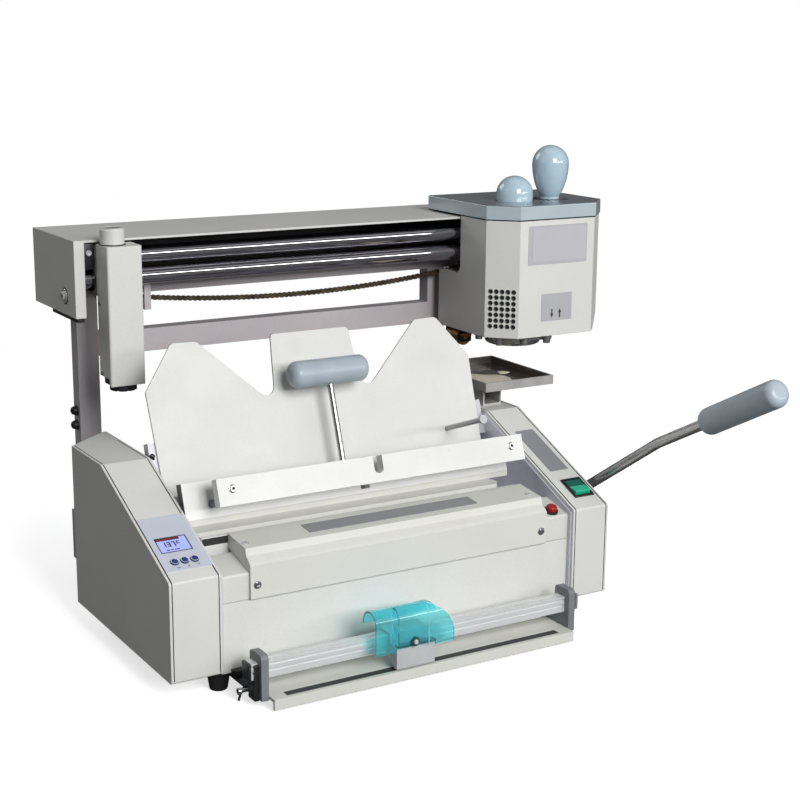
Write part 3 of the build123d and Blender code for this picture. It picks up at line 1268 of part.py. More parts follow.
# ---- drip tray ----
def drip_tray():
    """The shallow tray under the parked glue head, with a low lip all round."""
    low = (TRAY_LEFT_X, TRAY_FRONT_Y, TRAY_FLOOR_Z - TRAY_SHEET)
    high = (TRAY_LEFT_X + TRAY_WIDTH, TRAY_FRONT_Y + TRAY_DEPTH, TRAY_FLOOR_Z + TRAY_LIP)
    hollow = block((low[0] + TRAY_SHEET, low[1] + TRAY_SHEET, TRAY_FLOOR_Z),
                   (high[0] - TRAY_SHEET, high[1] - TRAY_SHEET, high[2]))
    return block(low, high) - hollow


def tray_bracket():
    """The channel that holds the drip tray above the right casing."""
    low = (TRAY_LEG_X, TRAY_LEG_FRONT_Y, CASING_REAR_HEIGHT)
    high = (TRAY_LEG_X + TRAY_LEG_WIDTH, TRAY_LEG_FRONT_Y + TRAY_LEG_DEPTH, TRAY_FLOOR_Z - TRAY_SHEET)
    return tube_box(low, high, TRAY_SHEET, "Y")


# ---- control panel and switches ----
def button_places():
    """X of each button on the panel."""
    return [BUTTON_FIRST_X + number * BUTTON_PITCH for number in range(BUTTON_COUNT)]


def control_panel():
    """The panel on the left slope, cut out for the display and the buttons."""
    panel = block((PANEL_INSET, PANEL_START, 0),
                  (PANEL_INSET + PANEL_WIDTH, PANEL_START + PANEL_LENGTH, PANEL_PROUD))
    panel -= block((DISPLAY_INSET, DISPLAY_START, 0),
                   (DISPLAY_INSET + DISPLAY_WIDTH, DISPLAY_START + DISPLAY_LENGTH, PANEL_PROUD))
    for x in button_places():
        panel -= Pos(x, BUTTON_DISTANCE, 0) * Cylinder(
            BUTTON_RADIUS + MOVING_GAP, PANEL_PROUD, align=TOP_MIN)
    return slope_plane(0) * panel


def display():
    """The display, flush in the panel."""
    return slope_plane(0) * block(
        (DISPLAY_INSET, DISPLAY_START, 0),
        (DISPLAY_INSET + DISPLAY_WIDTH, DISPLAY_START + DISPLAY_LENGTH, DISPLAY_THICKNESS))


def panel_button(x):
    """A round push button."""
    button = Cylinder(BUTTON_RADIUS, BUTTON_SUNK + PANEL_PROUD + BUTTON_PROUD, align=TOP_MIN)
    button = fillet(button.edges().sort_by(Axis.Z)[-1], BUTTON_EDGE_ROUND)
    return slope_plane(x) * (Pos(0, BUTTON_DISTANCE, -BUTTON_SUNK) * button)


def rocker_bezel():
    """The frame round the rocker switch."""
    outer = block((BEZEL_INSET, BEZEL_START, 0),
                  (BEZEL_INSET + BEZEL_WIDTH, BEZEL_START + BEZEL_LENGTH, BEZEL_PROUD))
    inner = block(
        (BEZEL_INSET + BEZEL_RIM, BEZEL_START + BEZEL_RIM, 0),
        (BEZEL_INSET + BEZEL_WIDTH - BEZEL_RIM, BEZEL_START + BEZEL_LENGTH - BEZEL_RIM, BEZEL_PROUD))
    return slope_plane(RIGHT_INNER_X) * (outer - inner)


def rocker_pivot():
    """The rocker's pivot on the slope: distance up the slope and height off it."""
    return BEZEL_START + BEZEL_LENGTH / 2, -ROCKER_PIVOT_DEPTH


def rocker_pins(reach, radius):
    """A round bar on the rocker's pivot that reaches past both sides of its well."""
    along, height = rocker_pivot()
    left = BEZEL_INSET + BEZEL_RIM
    right = BEZEL_INSET + BEZEL_WIDTH - BEZEL_RIM
    return slope_plane(RIGHT_INNER_X) * bar(
        (left - reach, along, height), (right + reach, along, height), radius)


def rocker():
    """The rocker on its pins: a shallow V that is tilted with its rear half down."""
    along, height = rocker_pivot()
    half = BEZEL_LENGTH / 2 - BEZEL_RIM - ROCKER_END_GAP
    crown = BEZEL_PROUD + ROCKER_PROUD - height
    profile = outline([
        (-half, crown), (0, crown - ROCKER_DISH), (half, crown),
        (half - ROCKER_TAPER, -ROCKER_DEPTH / 2), (-half + ROCKER_TAPER, -ROCKER_DEPTH / 2),
    ], {0: ROCKER_EDGE_ROUND, 2: ROCKER_EDGE_ROUND})
    width = BEZEL_WIDTH - 2 * BEZEL_RIM - 2 * MOVING_GAP
    paddle = extrude(Plane(origin=(0, 0, 0), x_dir=(0, 1, 0), z_dir=(1, 0, 0)) * profile, amount=width)
    paddle = Pos(BEZEL_INSET + BEZEL_RIM + MOVING_GAP, along, height) * Rot(-ROCKER_TILT, 0, 0) * paddle
    return slope_plane(RIGHT_INNER_X) * paddle + rocker_pins(ROCKER_PIN_REACH, ROCKER_PIN_RADIUS)


def stop_collar():
    """The dark collar round the stop button."""
    hole_radius = STOP_BUTTON_RADIUS + MOVING_GAP
    ring = Circle(hole_radius + STOP_COLLAR_RIM) - Circle(hole_radius)
    return ledge_plane() * extrude(ring, amount=STOP_COLLAR_HEIGHT)


def stop_button():
    """The domed stop button."""
    button = Cylinder(STOP_BUTTON_RADIUS, STOP_BUTTON_HEIGHT + STOP_COLLAR_HEIGHT, align=TOP_MIN)
    button = fillet(button.edges().sort_by(Axis.Z)[-1], STOP_EDGE_ROUND)
    return ledge_plane() * button


# ---- cover creaser ----
def creaser_plate(start):
    """An end plate of the creaser, with a round top, a rail seat and a mounting arm."""
    rear = CREASER_FRONT_Y + CREASER_PLATE_DEPTH
    arm_top = APRON_BOTTOM - SEAM
    seat_y = BODY_FRONT_Y + APRON_FLANGE + SEAM
    face = outline([
        (CREASER_FRONT_Y, CREASER_BOTTOM), (CREASER_FRONT_Y, CREASER_TOP), (rear, CREASER_TOP),
        (rear, arm_top), (seat_y, arm_top), (seat_y, 0), (CREASER_ARM_REAR_Y, 0),
        (CREASER_ARM_REAR_Y, CREASER_BOTTOM),
    ], {1: CREASER_CORNER, 2: CREASER_CORNER, 7: CREASER_CORNER})
    plate = along_x(face, start, start + CREASER_PLATE_THICKNESS)
    low, high = crease_rail_box(start, start + CREASER_PLATE_THICKNESS)
    return plate - block(low, high)


def crease_rail_box(start, end):
    """Opposite corners of the rail's outer section between two X."""
    low = (start, CREASE_RAIL_FRONT_Y, CREASE_RAIL_BOTTOM)
    high = (end, CREASE_RAIL_FRONT_Y + CREASE_RAIL_DEPTH, CREASE_RAIL_BOTTOM + CREASE_RAIL_HEIGHT)
    return low, high


def crease_rail():
    """The grooved aluminium rail that the crease carriage slides on."""
    start = CREASER_LEFT_X - CREASE_RAIL_OVERHANG
    end = CREASER_RIGHT_X + CREASER_PLATE_THICKNESS + CREASE_RAIL_OVERHANG
    low, high = crease_rail_box(start, end)
    rail = block(low, high)
    for share in RAIL_GROOVE_SHARES:
        z = low[2] + CREASE_RAIL_HEIGHT * share
        rail -= block((start, low[1], z), (end, low[1] + RAIL_GROOVE_DEPTH, z + RAIL_GROOVE_HEIGHT))
    y = (low[1] + high[1] - RAIL_GROOVE_HEIGHT) / 2
    rail -= block((start, y, high[2] - RAIL_GROOVE_DEPTH), (end, y + RAIL_GROOVE_HEIGHT, high[2]))
    return rail


def rail_cap(side):
    """The plastic cap on a rail end."""
    if side < 0:
        end = CREASER_LEFT_X - CREASE_RAIL_OVERHANG
        return block(*crease_rail_box(end - CREASE_CAP_THICKNESS, end))
    start = CREASER_RIGHT_X + CREASER_PLATE_THICKNESS + CREASE_RAIL_OVERHANG
    return block(*crease_rail_box(start, start + CREASE_CAP_THICKNESS))


def crease_tray_span():
    """Left and right X of the creaser's tray."""
    left = CREASER_LEFT_X + CREASER_PLATE_THICKNESS + SEAM
    return left, CREASER_RIGHT_X - SEAM


def strip_span():
    """Left and right X of the rubber strip."""
    left, right = crease_tray_span()
    return left + STRIP_END_INSET, right - STRIP_END_INSET


def crease_tray():
    """The folded table under the creaser, with a front skirt and the strip's groove."""
    left, right = crease_tray_span()
    table = block((left, CREASE_TRAY_FRONT_Y, CREASE_TRAY_TOP - CREASE_TRAY_SHEET),
                  (right, CREASE_TRAY_REAR_Y, CREASE_TRAY_TOP))
    skirt = block((left, CREASE_TRAY_FRONT_Y, CREASE_TRAY_TOP - CREASE_TRAY_SKIRT),
                  (right, CREASE_TRAY_FRONT_Y + CREASE_TRAY_SHEET, CREASE_TRAY_TOP))
    start, end = strip_span()
    groove = block((start, STRIP_FRONT_Y, CREASE_TRAY_TOP - STRIP_THICKNESS),
                   (end, STRIP_FRONT_Y + STRIP_WIDTH, CREASE_TRAY_TOP))
    return table + skirt - groove


def crease_strip():
    """The rubber strip that the crease wheel rolls on."""
    start, end = strip_span()
    return block((start, STRIP_FRONT_Y, CREASE_TRAY_TOP - STRIP_THICKNESS),
                 (end, STRIP_FRONT_Y + STRIP_WIDTH, CREASE_TRAY_TOP - MOVING_GAP))


def wheel_centre():
    """Centre of the crease wheel."""
    return (BRACKET_LEFT_X + BRACKET_WIDTH / 2, STRIP_FRONT_Y + STRIP_WIDTH / 2,
            CREASE_TRAY_TOP + MOVING_GAP + WHEEL_RADIUS)


def crease_carriage():
    """The carriage: a saddle round the rail, a front plate, two cheeks and a roof."""
    left = BRACKET_LEFT_X
    right = left + BRACKET_WIDTH
    bottom = CREASE_TRAY_TOP + BRACKET_RIDE
    rail_low, rail_high = crease_rail_box(left, right)
    saddle_front = rail_low[1] - SADDLE_WALL
    saddle_bottom = rail_low[2] - SADDLE_WALL
    saddle = block((left, saddle_front, saddle_bottom),
                   (right, rail_high[1] + SADDLE_WALL, rail_high[2] + SADDLE_WALL))
    saddle -= block((left, rail_low[1] - MOVING_GAP, rail_low[2] - MOVING_GAP),
                    (right, rail_high[1] + MOVING_GAP, rail_high[2] + MOVING_GAP))
    lap_y = saddle_front + SADDLE_LAP
    body = saddle + block((left, BRACKET_FRONT_Y, bottom),
                          (right, BRACKET_FRONT_Y + BRACKET_SHEET, BRACKET_TOP))
    cheek_face = outline([
        (BRACKET_FRONT_Y, BRACKET_TOP), (BRACKET_FRONT_Y, bottom),
        (BRACKET_FRONT_Y + BRACKET_CHEEK_FOOT, bottom), (lap_y, saddle_bottom), (lap_y, BRACKET_TOP)])
    for start in (left, right - BRACKET_SHEET):
        body += along_x(cheek_face, start, start + BRACKET_SHEET)
    x, y, z = wheel_centre()
    gap = WHEEL_THICKNESS / 2 + MOVING_GAP
    for near, far in ((BRACKET_FRONT_Y, y - gap), (y + gap, lap_y)):
        body += block((x - LUG_HALF_WIDTH, near, z - LUG_DROP), (x + LUG_HALF_WIDTH, far, BRACKET_TOP))
    body += block((left, BRACKET_FRONT_Y, BRACKET_TOP), (right, lap_y, BRACKET_TOP + BRACKET_SHEET))
    return body - bar((x, y - AXLE_BORE_HALF, z), (x, y + AXLE_BORE_HALF, z),
                      WHEEL_AXLE_RADIUS + RUNNING_GAP)


def crease_wheel():
    """The creasing wheel with its axle."""
    x, y, z = wheel_centre()
    half = WHEEL_THICKNESS / 2
    wheel = bar((x, y - half, z), (x, y + half, z), WHEEL_RADIUS)
    wheel = chamfer(wheel.edges().filter_by(GeomType.CIRCLE), WHEEL_THICKNESS / 3)
    return wheel + bar((x, y - half - WHEEL_AXLE_REACH, z), (x, y + half + WHEEL_AXLE_REACH, z),
                       WHEEL_AXLE_RADIUS)


def hood_span(bottom, inset):
    """The hood's side view from its arch down to a height, inset evenly, as (Y, Z)."""
    radius = HOOD_RADIUS - inset
    centre_y = HOOD_FRONT_Y + HOOD_RADIUS
    centre_z = HOOD_TOP - HOOD_RADIUS
    straight = Pos(centre_y, (bottom + centre_z) / 2) * Rectangle(2 * radius, centre_z - bottom)
    return Pos(centre_y, centre_z) * Circle(radius) + straight


def hood_wing_cut():
    """What the hood's right end loses: all outside a curve from its top to the wing's tip."""
    start = (HOOD_SEAM_X - HOOD_WING_OVERLAP, HOOD_TOP)
    tip = (HOOD_SEAM_X + HOOD_WING, HOOD_SKIRT_BOTTOM)
    turn = math.radians(45)
    middle = (start[0] + (tip[0] - start[0]) * math.sin(turn),
              tip[1] + (start[1] - tip[1]) * math.cos(turn))
    curve = ThreePointArc(start, middle, tip)
    rest = Polyline(tip, (tip[0] + HOOD_SHEET, tip[1]),
                    (tip[0] + HOOD_SHEET, HOOD_TOP + HOOD_SHEET), (start[0], HOOD_TOP + HOOD_SHEET), start)
    return along_y(make_face(curve.edges() + rest.edges()),
                   HOOD_FRONT_Y - HOOD_SHEET, HOOD_FRONT_Y + 2 * HOOD_RADIUS + HOOD_SHEET)


def crease_hood():
    """The clear hood over the carriage: an arched shell with a curved wing on its right."""
    roof = BRACKET_TOP + BRACKET_SHEET
    rear_y = HOOD_FRONT_Y + 2 * HOOD_RADIUS
    right = HOOD_SEAM_X + HOOD_WING
    shell = along_x(hood_span(HOOD_SKIRT_BOTTOM, 0) - hood_span(HOOD_SKIRT_BOTTOM, HOOD_SHEET),
                    HOOD_LEFT_X, right)
    shell -= block((HOOD_LEFT_X, HOOD_FRONT_Y + HOOD_RADIUS, HOOD_SKIRT_BOTTOM),
                   (right, rear_y, HOOD_REAR_BOTTOM))
    shell -= block((BRACKET_LEFT_X - HOOD_SIDE_GAP, HOOD_FRONT_Y, HOOD_SKIRT_BOTTOM),
                   (HOOD_SEAM_X + HOOD_SIDE_GAP, HOOD_FRONT_Y + HOOD_SHEET, roof))
    shell -= hood_wing_cut()
    shell += block((BRACKET_LEFT_X, HOOD_FRONT_Y, roof),
                   (BRACKET_LEFT_X + BRACKET_WIDTH, HOOD_FRONT_Y + HOOD_FOOT_DEPTH, roof + HOOD_SHEET))
    bulkhead = hood_span(roof, HOOD_SHEET / 2) - Pos(rear_y, HOOD_TOP - HOOD_RADIUS) * Rectangle(
        2 * HOOD_RADIUS, 2 * HOOD_TOP)
    return shell + along_x(bulkhead, BRACKET_LEFT_X, BRACKET_LEFT_X + HOOD_SHEET)


# ---- everything together ----
def build_nodes():
    """Builds every piece, by name."""
    left_sprocket, right_sprocket = sprocket_places()
    foot_left_x = CASING_LEFT_WIDTH + FOOT_SIDE_INSET
    foot_right_x = RIGHT_INNER_X - FOOT_SIDE_INSET
    left_knob_x, right_knob_x = knob_places()
    left_panel_x, middle_panel_x, right_panel_x = button_places()
    return {
        "casing_left": casing_left(),
        "casing_right": casing_right(),
        "inner_walls": together(
            inner_wall(CASING_LEFT_WIDTH), inner_wall(RIGHT_INNER_X - INNER_WALL_THICKNESS)),
        "body_housing": body_housing(),
        "front_apron": front_apron(),
        "front_ledge": front_ledge(),
        "rear_base": rear_base(),
        "mains_inlet": mains_inlet(),
        "feet": together(*[foot(x, y) for x in (foot_left_x, foot_right_x)
                           for y in (FOOT_FRONT_Y, FOOT_REAR_Y)]),
        "stepped_cover": stepped_cover(),
        "nip_platform": nip_platform(),
        "nip_jaw": nip_jaw(),
        "rear_jaw": rear_jaw(),
        "jaw_mounts": together(jaw_mount(-1), jaw_mount(1)),
        "front_jaw": front_jaw() + guide_pin(-1) + guide_pin(1),
        "handle_bracket": handle_bracket(),
        "handle_rod": handle_rod(),
        "handle_grip": handle_grip(),
        "rest_plate": rest_plate(),
        "rest_fittings": together(rest_bracket(-1), rest_bracket(1), rest_stud()),
        "press_lever": press_lever(),
        "lever_grip": lever_grip(),
        "frame_posts": together(post(POST_LEFT_X), post(POST_RIGHT_X)),
        "lower_rail": lower_rail(),
        "upper_rail": upper_rail() + sprocket_boss(left_sprocket) + sprocket_boss(right_sprocket),
        "end_plates": together(
            end_plate(BEAM_LEFT_X + BEAM_SHEET),
            end_plate(BEAM_RIGHT_X - BEAM_SHEET - END_PLATE_THICKNESS)),
        "guide_rods": together(guide_rod(ROD_UPPER_Z), guide_rod(ROD_LOWER_Z)),
        "beam_cover": beam_cover(),
        "chain_run": chain_run(),
        "chain_return": chain_return(),
        "sprocket_left": sprocket(left_sprocket),
        "sprocket_right": sprocket(right_sprocket),
        "mill_housing": mill_housing() + mill_cap(),
        "mill_carriage": mill_carriage() + mill_cheek() + chain_anchor(),
        "cutter": cutter(),
        "head_housing": head_housing(),
        "head_cap": head_cap(),
        "head_carriage": head_carriage(),
        "knob_left": knob(left_knob_x, KNOB_TRAVEL),
        "knob_right": knob(right_knob_x, 0),
        "glue_pan": glue_pan(),
        "glue_roller_yoke": roller_yoke(),
        "glue_roller": glue_roller(),
        "drip_tray": drip_tray() + tray_bracket(),
        "control_panel": control_panel(),
        "display": display(),
        "panel_button_left": panel_button(left_panel_x),
        "panel_button_middle": panel_button(middle_panel_x),
        "panel_button_right": panel_button(right_panel_x),
        "rocker_bezel": rocker_bezel(),
        "rocker": rocker(),
        "stop_collar": stop_collar(),
        "stop_button": stop_button(),
        "creaser_plates": together(
            creaser_plate(CREASER_LEFT_X), creaser_plate(CREASER_RIGHT_X), rail_cap(-1), rail_cap(1)),
        "crease_rail": crease_rail(),
        "crease_tray": crease_tray(),
        "crease_strip": crease_strip(),
        "crease_carriage": crease_carriage(),
        "crease_wheel": crease_wheel(),
        "crease_hood": crease_hood(),
    }


def origin_shift(nodes):
    """Moves the centre of the whole footprint, at desk height, to the origin."""
    boxes = [node.bounding_box() for node in nodes.values()]
    middle_x = (min(box.min.X for box in boxes) + max(box.max.X for box in boxes)) / 2
    middle_y = (min(box.min.Y for box in boxes) + max(box.max.Y for box in boxes)) / 2
    return Pos(-middle_x, -middle_y, -min(box.min.Z for box in boxes))


def main():
    """Builds the parts, moves them to the origin and writes them."""
    nodes = build_nodes()
    shift = origin_shift(nodes)
    os.makedirs("parts", exist_ok=True)
    for name, node in nodes.items():
        export_step(shift * node, f"parts/{name}.step")


if __name__ == "__main__":
    main()
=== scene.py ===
"""Looks of a desk-top hot-melt book binder: its finishes, small fittings, light and camera.

Sizes are millimetres in the machine's own frame: X runs right from the left casing's outer face, Y to the
rear from the casings' front face and Z up from the casings' lower edge. A piece is shaped in that frame, and
turned into metres in the row frame when it is published.
"""
import functools
import logging
import math
from dataclasses import dataclass, replace
from enum import Enum
from typing import Any, Iterable, Sequence

import bmesh
import bpy
from mathutils import Matrix, Vector


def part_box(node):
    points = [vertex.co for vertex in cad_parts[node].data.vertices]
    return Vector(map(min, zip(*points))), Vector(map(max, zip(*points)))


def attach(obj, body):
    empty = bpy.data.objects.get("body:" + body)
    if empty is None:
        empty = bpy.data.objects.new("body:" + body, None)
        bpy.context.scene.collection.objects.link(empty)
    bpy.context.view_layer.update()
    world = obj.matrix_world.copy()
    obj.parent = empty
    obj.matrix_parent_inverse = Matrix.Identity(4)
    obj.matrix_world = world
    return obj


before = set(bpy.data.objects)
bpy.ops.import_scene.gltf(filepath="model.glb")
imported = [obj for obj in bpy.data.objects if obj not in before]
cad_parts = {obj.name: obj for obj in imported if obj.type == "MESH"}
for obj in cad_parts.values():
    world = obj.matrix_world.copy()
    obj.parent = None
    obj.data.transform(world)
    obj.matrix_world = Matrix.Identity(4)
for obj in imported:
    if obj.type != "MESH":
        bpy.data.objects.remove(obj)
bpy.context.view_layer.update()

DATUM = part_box("casing_left")[0]
MM = 0.001
LOG = logging.getLogger("book_binder")

# Where the middle between the two casings is, along X.
MIDDLE_X = 267.5
# Metres past the machine on every side, for the open sides of a finish's box.
FAR = 9.0
WHITE = (1.0, 1.0, 1.0, 1.0)
# The sockets of Blender's Mix node when it mixes two colours.
MIX_SHARE, MIX_UNDER, MIX_OVER, MIX_RESULT = 0, 6, 7, 2

Point = tuple[float, float, float]
Profile = Sequence[tuple[float, float]]
Mesh = bmesh.types.BMesh
Tree = bpy.types.NodeTree
Socket = bpy.types.NodeSocket

LEFT: Point = (-1, 0, 0)
RIGHT: Point = (1, 0, 0)
FRONT: Point = (0, -1, 0)
REAR: Point = (0, 1, 0)
UP: Point = (0, 0, 1)
DOWN: Point = (0, 0, -1)


class Body(Enum):
    """The bodies of the machine that a fitting can ride on."""

    BASE = "base"
    MILL = "mill"
    HEAD = "head"
    CLAMP = "clamp_bar"
    CREASER = "crease_unit"
    NIP = "nip_bar"
    BUTTON_LEFT = "button_left"
    BUTTON_MIDDLE = "button_middle"
    BUTTON_RIGHT = "button_right"


class Drive(Enum):
    """The recess that a screw is driven by."""

    CROSS = "cross"
    SLOT = "slot"
    HEX = "hex"


# ---- node trees ----
def linear(code: str) -> tuple[float, float, float, float]:
    """Turns an sRGB hex colour into linear light.

    Args:
        code: the colour as #RRGGBB.

    Returns:
        Red, green, blue and an alpha of 1.
    """
    shares = [int(code[start:start + 2], 16) / 255 for start in (1, 3, 5)]
    red, green, blue = (s / 12.92 if s <= 0.04045 else ((s + 0.055) / 1.055) ** 2.4 for s in shares)
    return red, green, blue, 1.0


def add(tree: Tree, kind: str, settings: dict[str, Any] | None = None,
        feeds: dict[Any, Any] | None = None) -> bpy.types.Node:
    """Adds one node with its settings and links.

    Args:
        tree: the node tree that it goes into.
        kind: Blender's name for the node's type.
        settings: the node's own properties.
        feeds: what goes into its inputs, by name or number: another node's output, or a plain value.

    Returns:
        The new node.
    """
    node = tree.nodes.new(kind)
    for name, value in (settings or {}).items():
        setattr(node, name, value)
    for key, value in (feeds or {}).items():
        if isinstance(value, Socket):
            tree.links.new(value, node.inputs[key])
        else:
            node.inputs[key].default_value = value
    return node


def coloured_over(tree: Tree, share: Socket, under: Socket, colour: str) -> Socket:
    """Lays a plain colour over part of a surface.

    Args:
        tree: the material's tree.
        share: how much of the colour shows, from 0 to 1.
        under: the colour of the rest.
        colour: the plain colour as #RRGGBB.

    Returns:
        The mixed colour.
    """
    mix = add(tree, "ShaderNodeMix", {"data_type": "RGBA"}, {
        MIX_SHARE: share, MIX_UNDER: under, MIX_OVER: linear(colour)})
    return mix.outputs[MIX_RESULT]


@dataclass(frozen=True)
class Finish:
    """A surface, with a slow drift of colour and a fine grain that catches the light.

    Its sizes are real millimetres. A grain finer than about half a millimetre wouldn't show, so it is drawn a
    little coarser than that.
    """

    name: str
    colour: str
    drift_to: str
    roughness: float
    metallic: float = 0.0
    ior: float = 1.5
    drift_mm: float = 60.0
    grain_mm: float = 0.8
    grain_depth_mm: float = 0.01
    roughness_spread: float = 0.06
    edge_mm: float = 0.0
    coat: float = 0.0
    coat_roughness: float = 0.1
    stretch: Point = (1.0, 1.0, 1.0)
    drift_from: float = 0.3
    drift_until: float = 0.75

    def place(self, tree: Tree) -> Socket:
        """Gives the pattern's coordinates, drawn out along the way that the surface was worked.

        Args:
            tree: the material's tree.

        Returns:
            The coordinates.
        """
        coordinates = add(tree, "ShaderNodeTexCoord")
        mapping = add(tree, "ShaderNodeMapping", feeds={"Vector": coordinates.outputs["Object"]})
        mapping.inputs["Scale"].default_value = self.stretch
        return mapping.outputs["Vector"]

    def noise(self, tree: Tree, size_mm: float, detail: float = 3.0) -> Socket:
        """Gives a cloudy pattern from 0 to 1.

        Args:
            tree: the material's tree.
            size_mm: about how far apart its patches lie.
            detail: how many finer layers lie over it.

        Returns:
            The pattern's value.
        """
        node = add(tree, "ShaderNodeTexNoise", feeds={
            "Vector": self.place(tree), "Scale": 1 / (size_mm * MM), "Detail": detail, "Roughness": 0.55})
        return node.outputs["Factor"] if "Factor" in node.outputs else node.outputs["Fac"]

    def base_colour(self, tree: Tree) -> Socket:
        """Gives the colour, which drifts slowly between the finish's two colours.

        Args:
            tree: the material's tree.

        Returns:
            The colour.
        """
        ramp = add(tree, "ShaderNodeValToRGB", feeds={0: self.noise(tree, self.drift_mm)})
        first, last = ramp.color_ramp.elements
        first.position, first.color = self.drift_from, linear(self.colour)
        last.position, last.color = self.drift_until, linear(self.drift_to)
        return ramp.outputs["Color"]

    def relief(self, tree: Tree) -> Socket:
        """Gives the height of the surface's grain from 0 to 1."""
        return self.noise(tree, self.grain_mm, 2.0)

    def dress(self, tree: Tree, shader: bpy.types.Node) -> None:
        """Adds what a kind of finish has beyond colour, gloss and grain.

        Args:
            tree: the material's tree.
            shader: its surface shader.
        """

    @functools.cache
    def material(self) -> bpy.types.Material:
        """Makes the finish's material once, and gives it again whenever it is asked for.

        Returns:
            The material.
        """
        material = bpy.data.materials.new(self.name)
        material.use_nodes = True
        tree = material.node_tree
        tree.nodes.clear()
        # The gloss drifts in patches a quarter of the size of the colour's.
        gloss = add(tree, "ShaderNodeMapRange", feeds={
            "Value": self.noise(tree, self.drift_mm / 4),
            "To Min": max(self.roughness - self.roughness_spread, 0.02),
            "To Max": min(self.roughness + self.roughness_spread, 1.0)})
        bump_feeds = {"Height": self.relief(tree), "Strength": 1.0, "Distance": self.grain_depth_mm * MM}
        if self.edge_mm:
            edge = add(tree, "ShaderNodeBevel", {"samples": 4}, {"Radius": self.edge_mm * MM})
            bump_feeds["Normal"] = edge.outputs["Normal"]
        bump = add(tree, "ShaderNodeBump", feeds=bump_feeds)
        feeds = {"Base Color": self.base_colour(tree), "Roughness": gloss.outputs["Result"],
                 "Metallic": self.metallic, "Normal": bump.outputs["Normal"],
                 "Coat Weight": self.coat, "Coat Roughness": self.coat_roughness}
        if not self.metallic:
            feeds["IOR"] = self.ior
        shader = add(tree, "ShaderNodeBsdfPrincipled", feeds=feeds)
        self.dress(tree, shader)
        add(tree, "ShaderNodeOutputMaterial", feeds={"Surface": shader.outputs["BSDF"]})
        return material


@dataclass(frozen=True)
class Speckled(Finish):
    """A powder coat or enamel whose grains show as fine specks of a second colour."""

    fleck: str = "#FFFFFF"
    fleck_share: float = 0.1
    fleck_from: float = 0.5
    fleck_full: float = 0.75

    def base_colour(self, tree: Tree) -> Socket:
        """Gives the drifting colour with fine flecks mixed in.

        Args:
            tree: the material's tree.

        Returns:
            The colour.
        """
        share = add(tree, "ShaderNodeMapRange", feeds={
            "Value": self.noise(tree, self.grain_mm, 1.0), "From Min": self.fleck_from,
            "From Max": self.fleck_full, "To Max": self.fleck_share})
        return coloured_over(tree, share.outputs["Result"], super().base_colour(tree), self.fleck)


@dataclass(frozen=True)
class Parted(Speckled):
    """A finish that has another colour inside a box, whose corners are metres in the row frame."""

    fleck_share: float = 0.0
    other: str = "#808080"
    low: Point = (-FAR, -FAR, -FAR)
    high: Point = (FAR, FAR, FAR)

    def within(self, tree: Tree) -> Socket:
        """Tells the inside of the box from its outside.

        Args:
            tree: the material's tree.

        Returns:
            1 inside the box and 0 outside it.
        """
        coordinates = add(tree, "ShaderNodeTexCoord")
        parts = add(tree, "ShaderNodeSeparateXYZ", feeds={0: coordinates.outputs["Object"]})
        share = None
        for axis, (low, high) in enumerate(zip(self.low, self.high)):
            inside = add(tree, "ShaderNodeMath", {"operation": "COMPARE"}, {
                0: parts.outputs[axis], 1: (low + high) / 2, 2: (high - low) / 2}).outputs[0]
            if share is not None:
                inside = add(tree, "ShaderNodeMath", {"operation": "MULTIPLY"}, {
                    0: share, 1: inside}).outputs[0]
            share = inside
        return share

    def base_colour(self, tree: Tree) -> Socket:
        """Gives the drifting colour, and the other one inside the box.

        Args:
            tree: the material's tree.

        Returns:
            The colour.
        """
        return coloured_over(tree, self.within(tree), super().base_colour(tree), self.other)


@dataclass(frozen=True)
class Clear(Finish):
    """A tinted see-through plastic or glass."""

    transmission: float = 0.85

    def dress(self, tree: Tree, shader: bpy.types.Node) -> None:
        """Lets light through the body of the plastic."""
        shader.inputs["Transmission Weight"].default_value = self.transmission


@dataclass(frozen=True)
class Glowing(Finish):
    """A lit surface, such as a backlit display or a lamp behind plastic."""

    glow: str = "#FFFFFF"
    strength: float = 0.5

    def dress(self, tree: Tree, shader: bpy.types.Node) -> None:
        """Adds the light from behind."""
        shader.inputs["Emission Color"].default_value = linear(self.glow)
        shader.inputs["Emission Strength"].default_value = self.strength


# Powder-coated sheet steel, baked: satin, with the fine orange peel that breaks up its highlights.
CASING_COAT = Speckled("powder_coated_sheet_light_grey", "#D6D6D3", "#D1D1CD", 0.42, edge_mm=1.2,
                       grain_mm=1.1, grain_depth_mm=0.03, drift_mm=90, fleck="#BFC0BC", fleck_share=0.35)
# The same coat on the beam's sheet, and near black inside it: painted shade behind the rods.
BEAM_COAT = Parted("powder_coated_beam_painted_shade_inside", "#D6D6D3", "#D1D1CD", 0.42, edge_mm=1.2, grain_mm=1.1,
                   grain_depth_mm=0.03, drift_mm=90, fleck="#BFC0BC", fleck_share=0.35, other="#141416",
                   low=(-0.3285, 0.2150, 0.30), high=(0.3590, 0.3503, 0.4166))
# The same coat on the cover sheets, a shade warmer where the light rakes it.
COVER_COAT = Speckled("powder_coated_cover_warm_grey", "#D2D2CC", "#CDCDC6", 0.45, edge_mm=0.9,
                      grain_mm=1.0, grain_depth_mm=0.03, drift_mm=80, fleck="#BDBEB7", fleck_share=0.35)
# White powder coat on the rest plate, with a coarser leathery grain.
PLATE_COAT = Speckled("powder_coated_plate_white", "#D6D6D3", "#CECECB", 0.5, edge_mm=0.8,
                      grain_mm=1.2, grain_depth_mm=0.035, drift_mm=70, fleck="#BFBFBD", fleck_share=0.3)
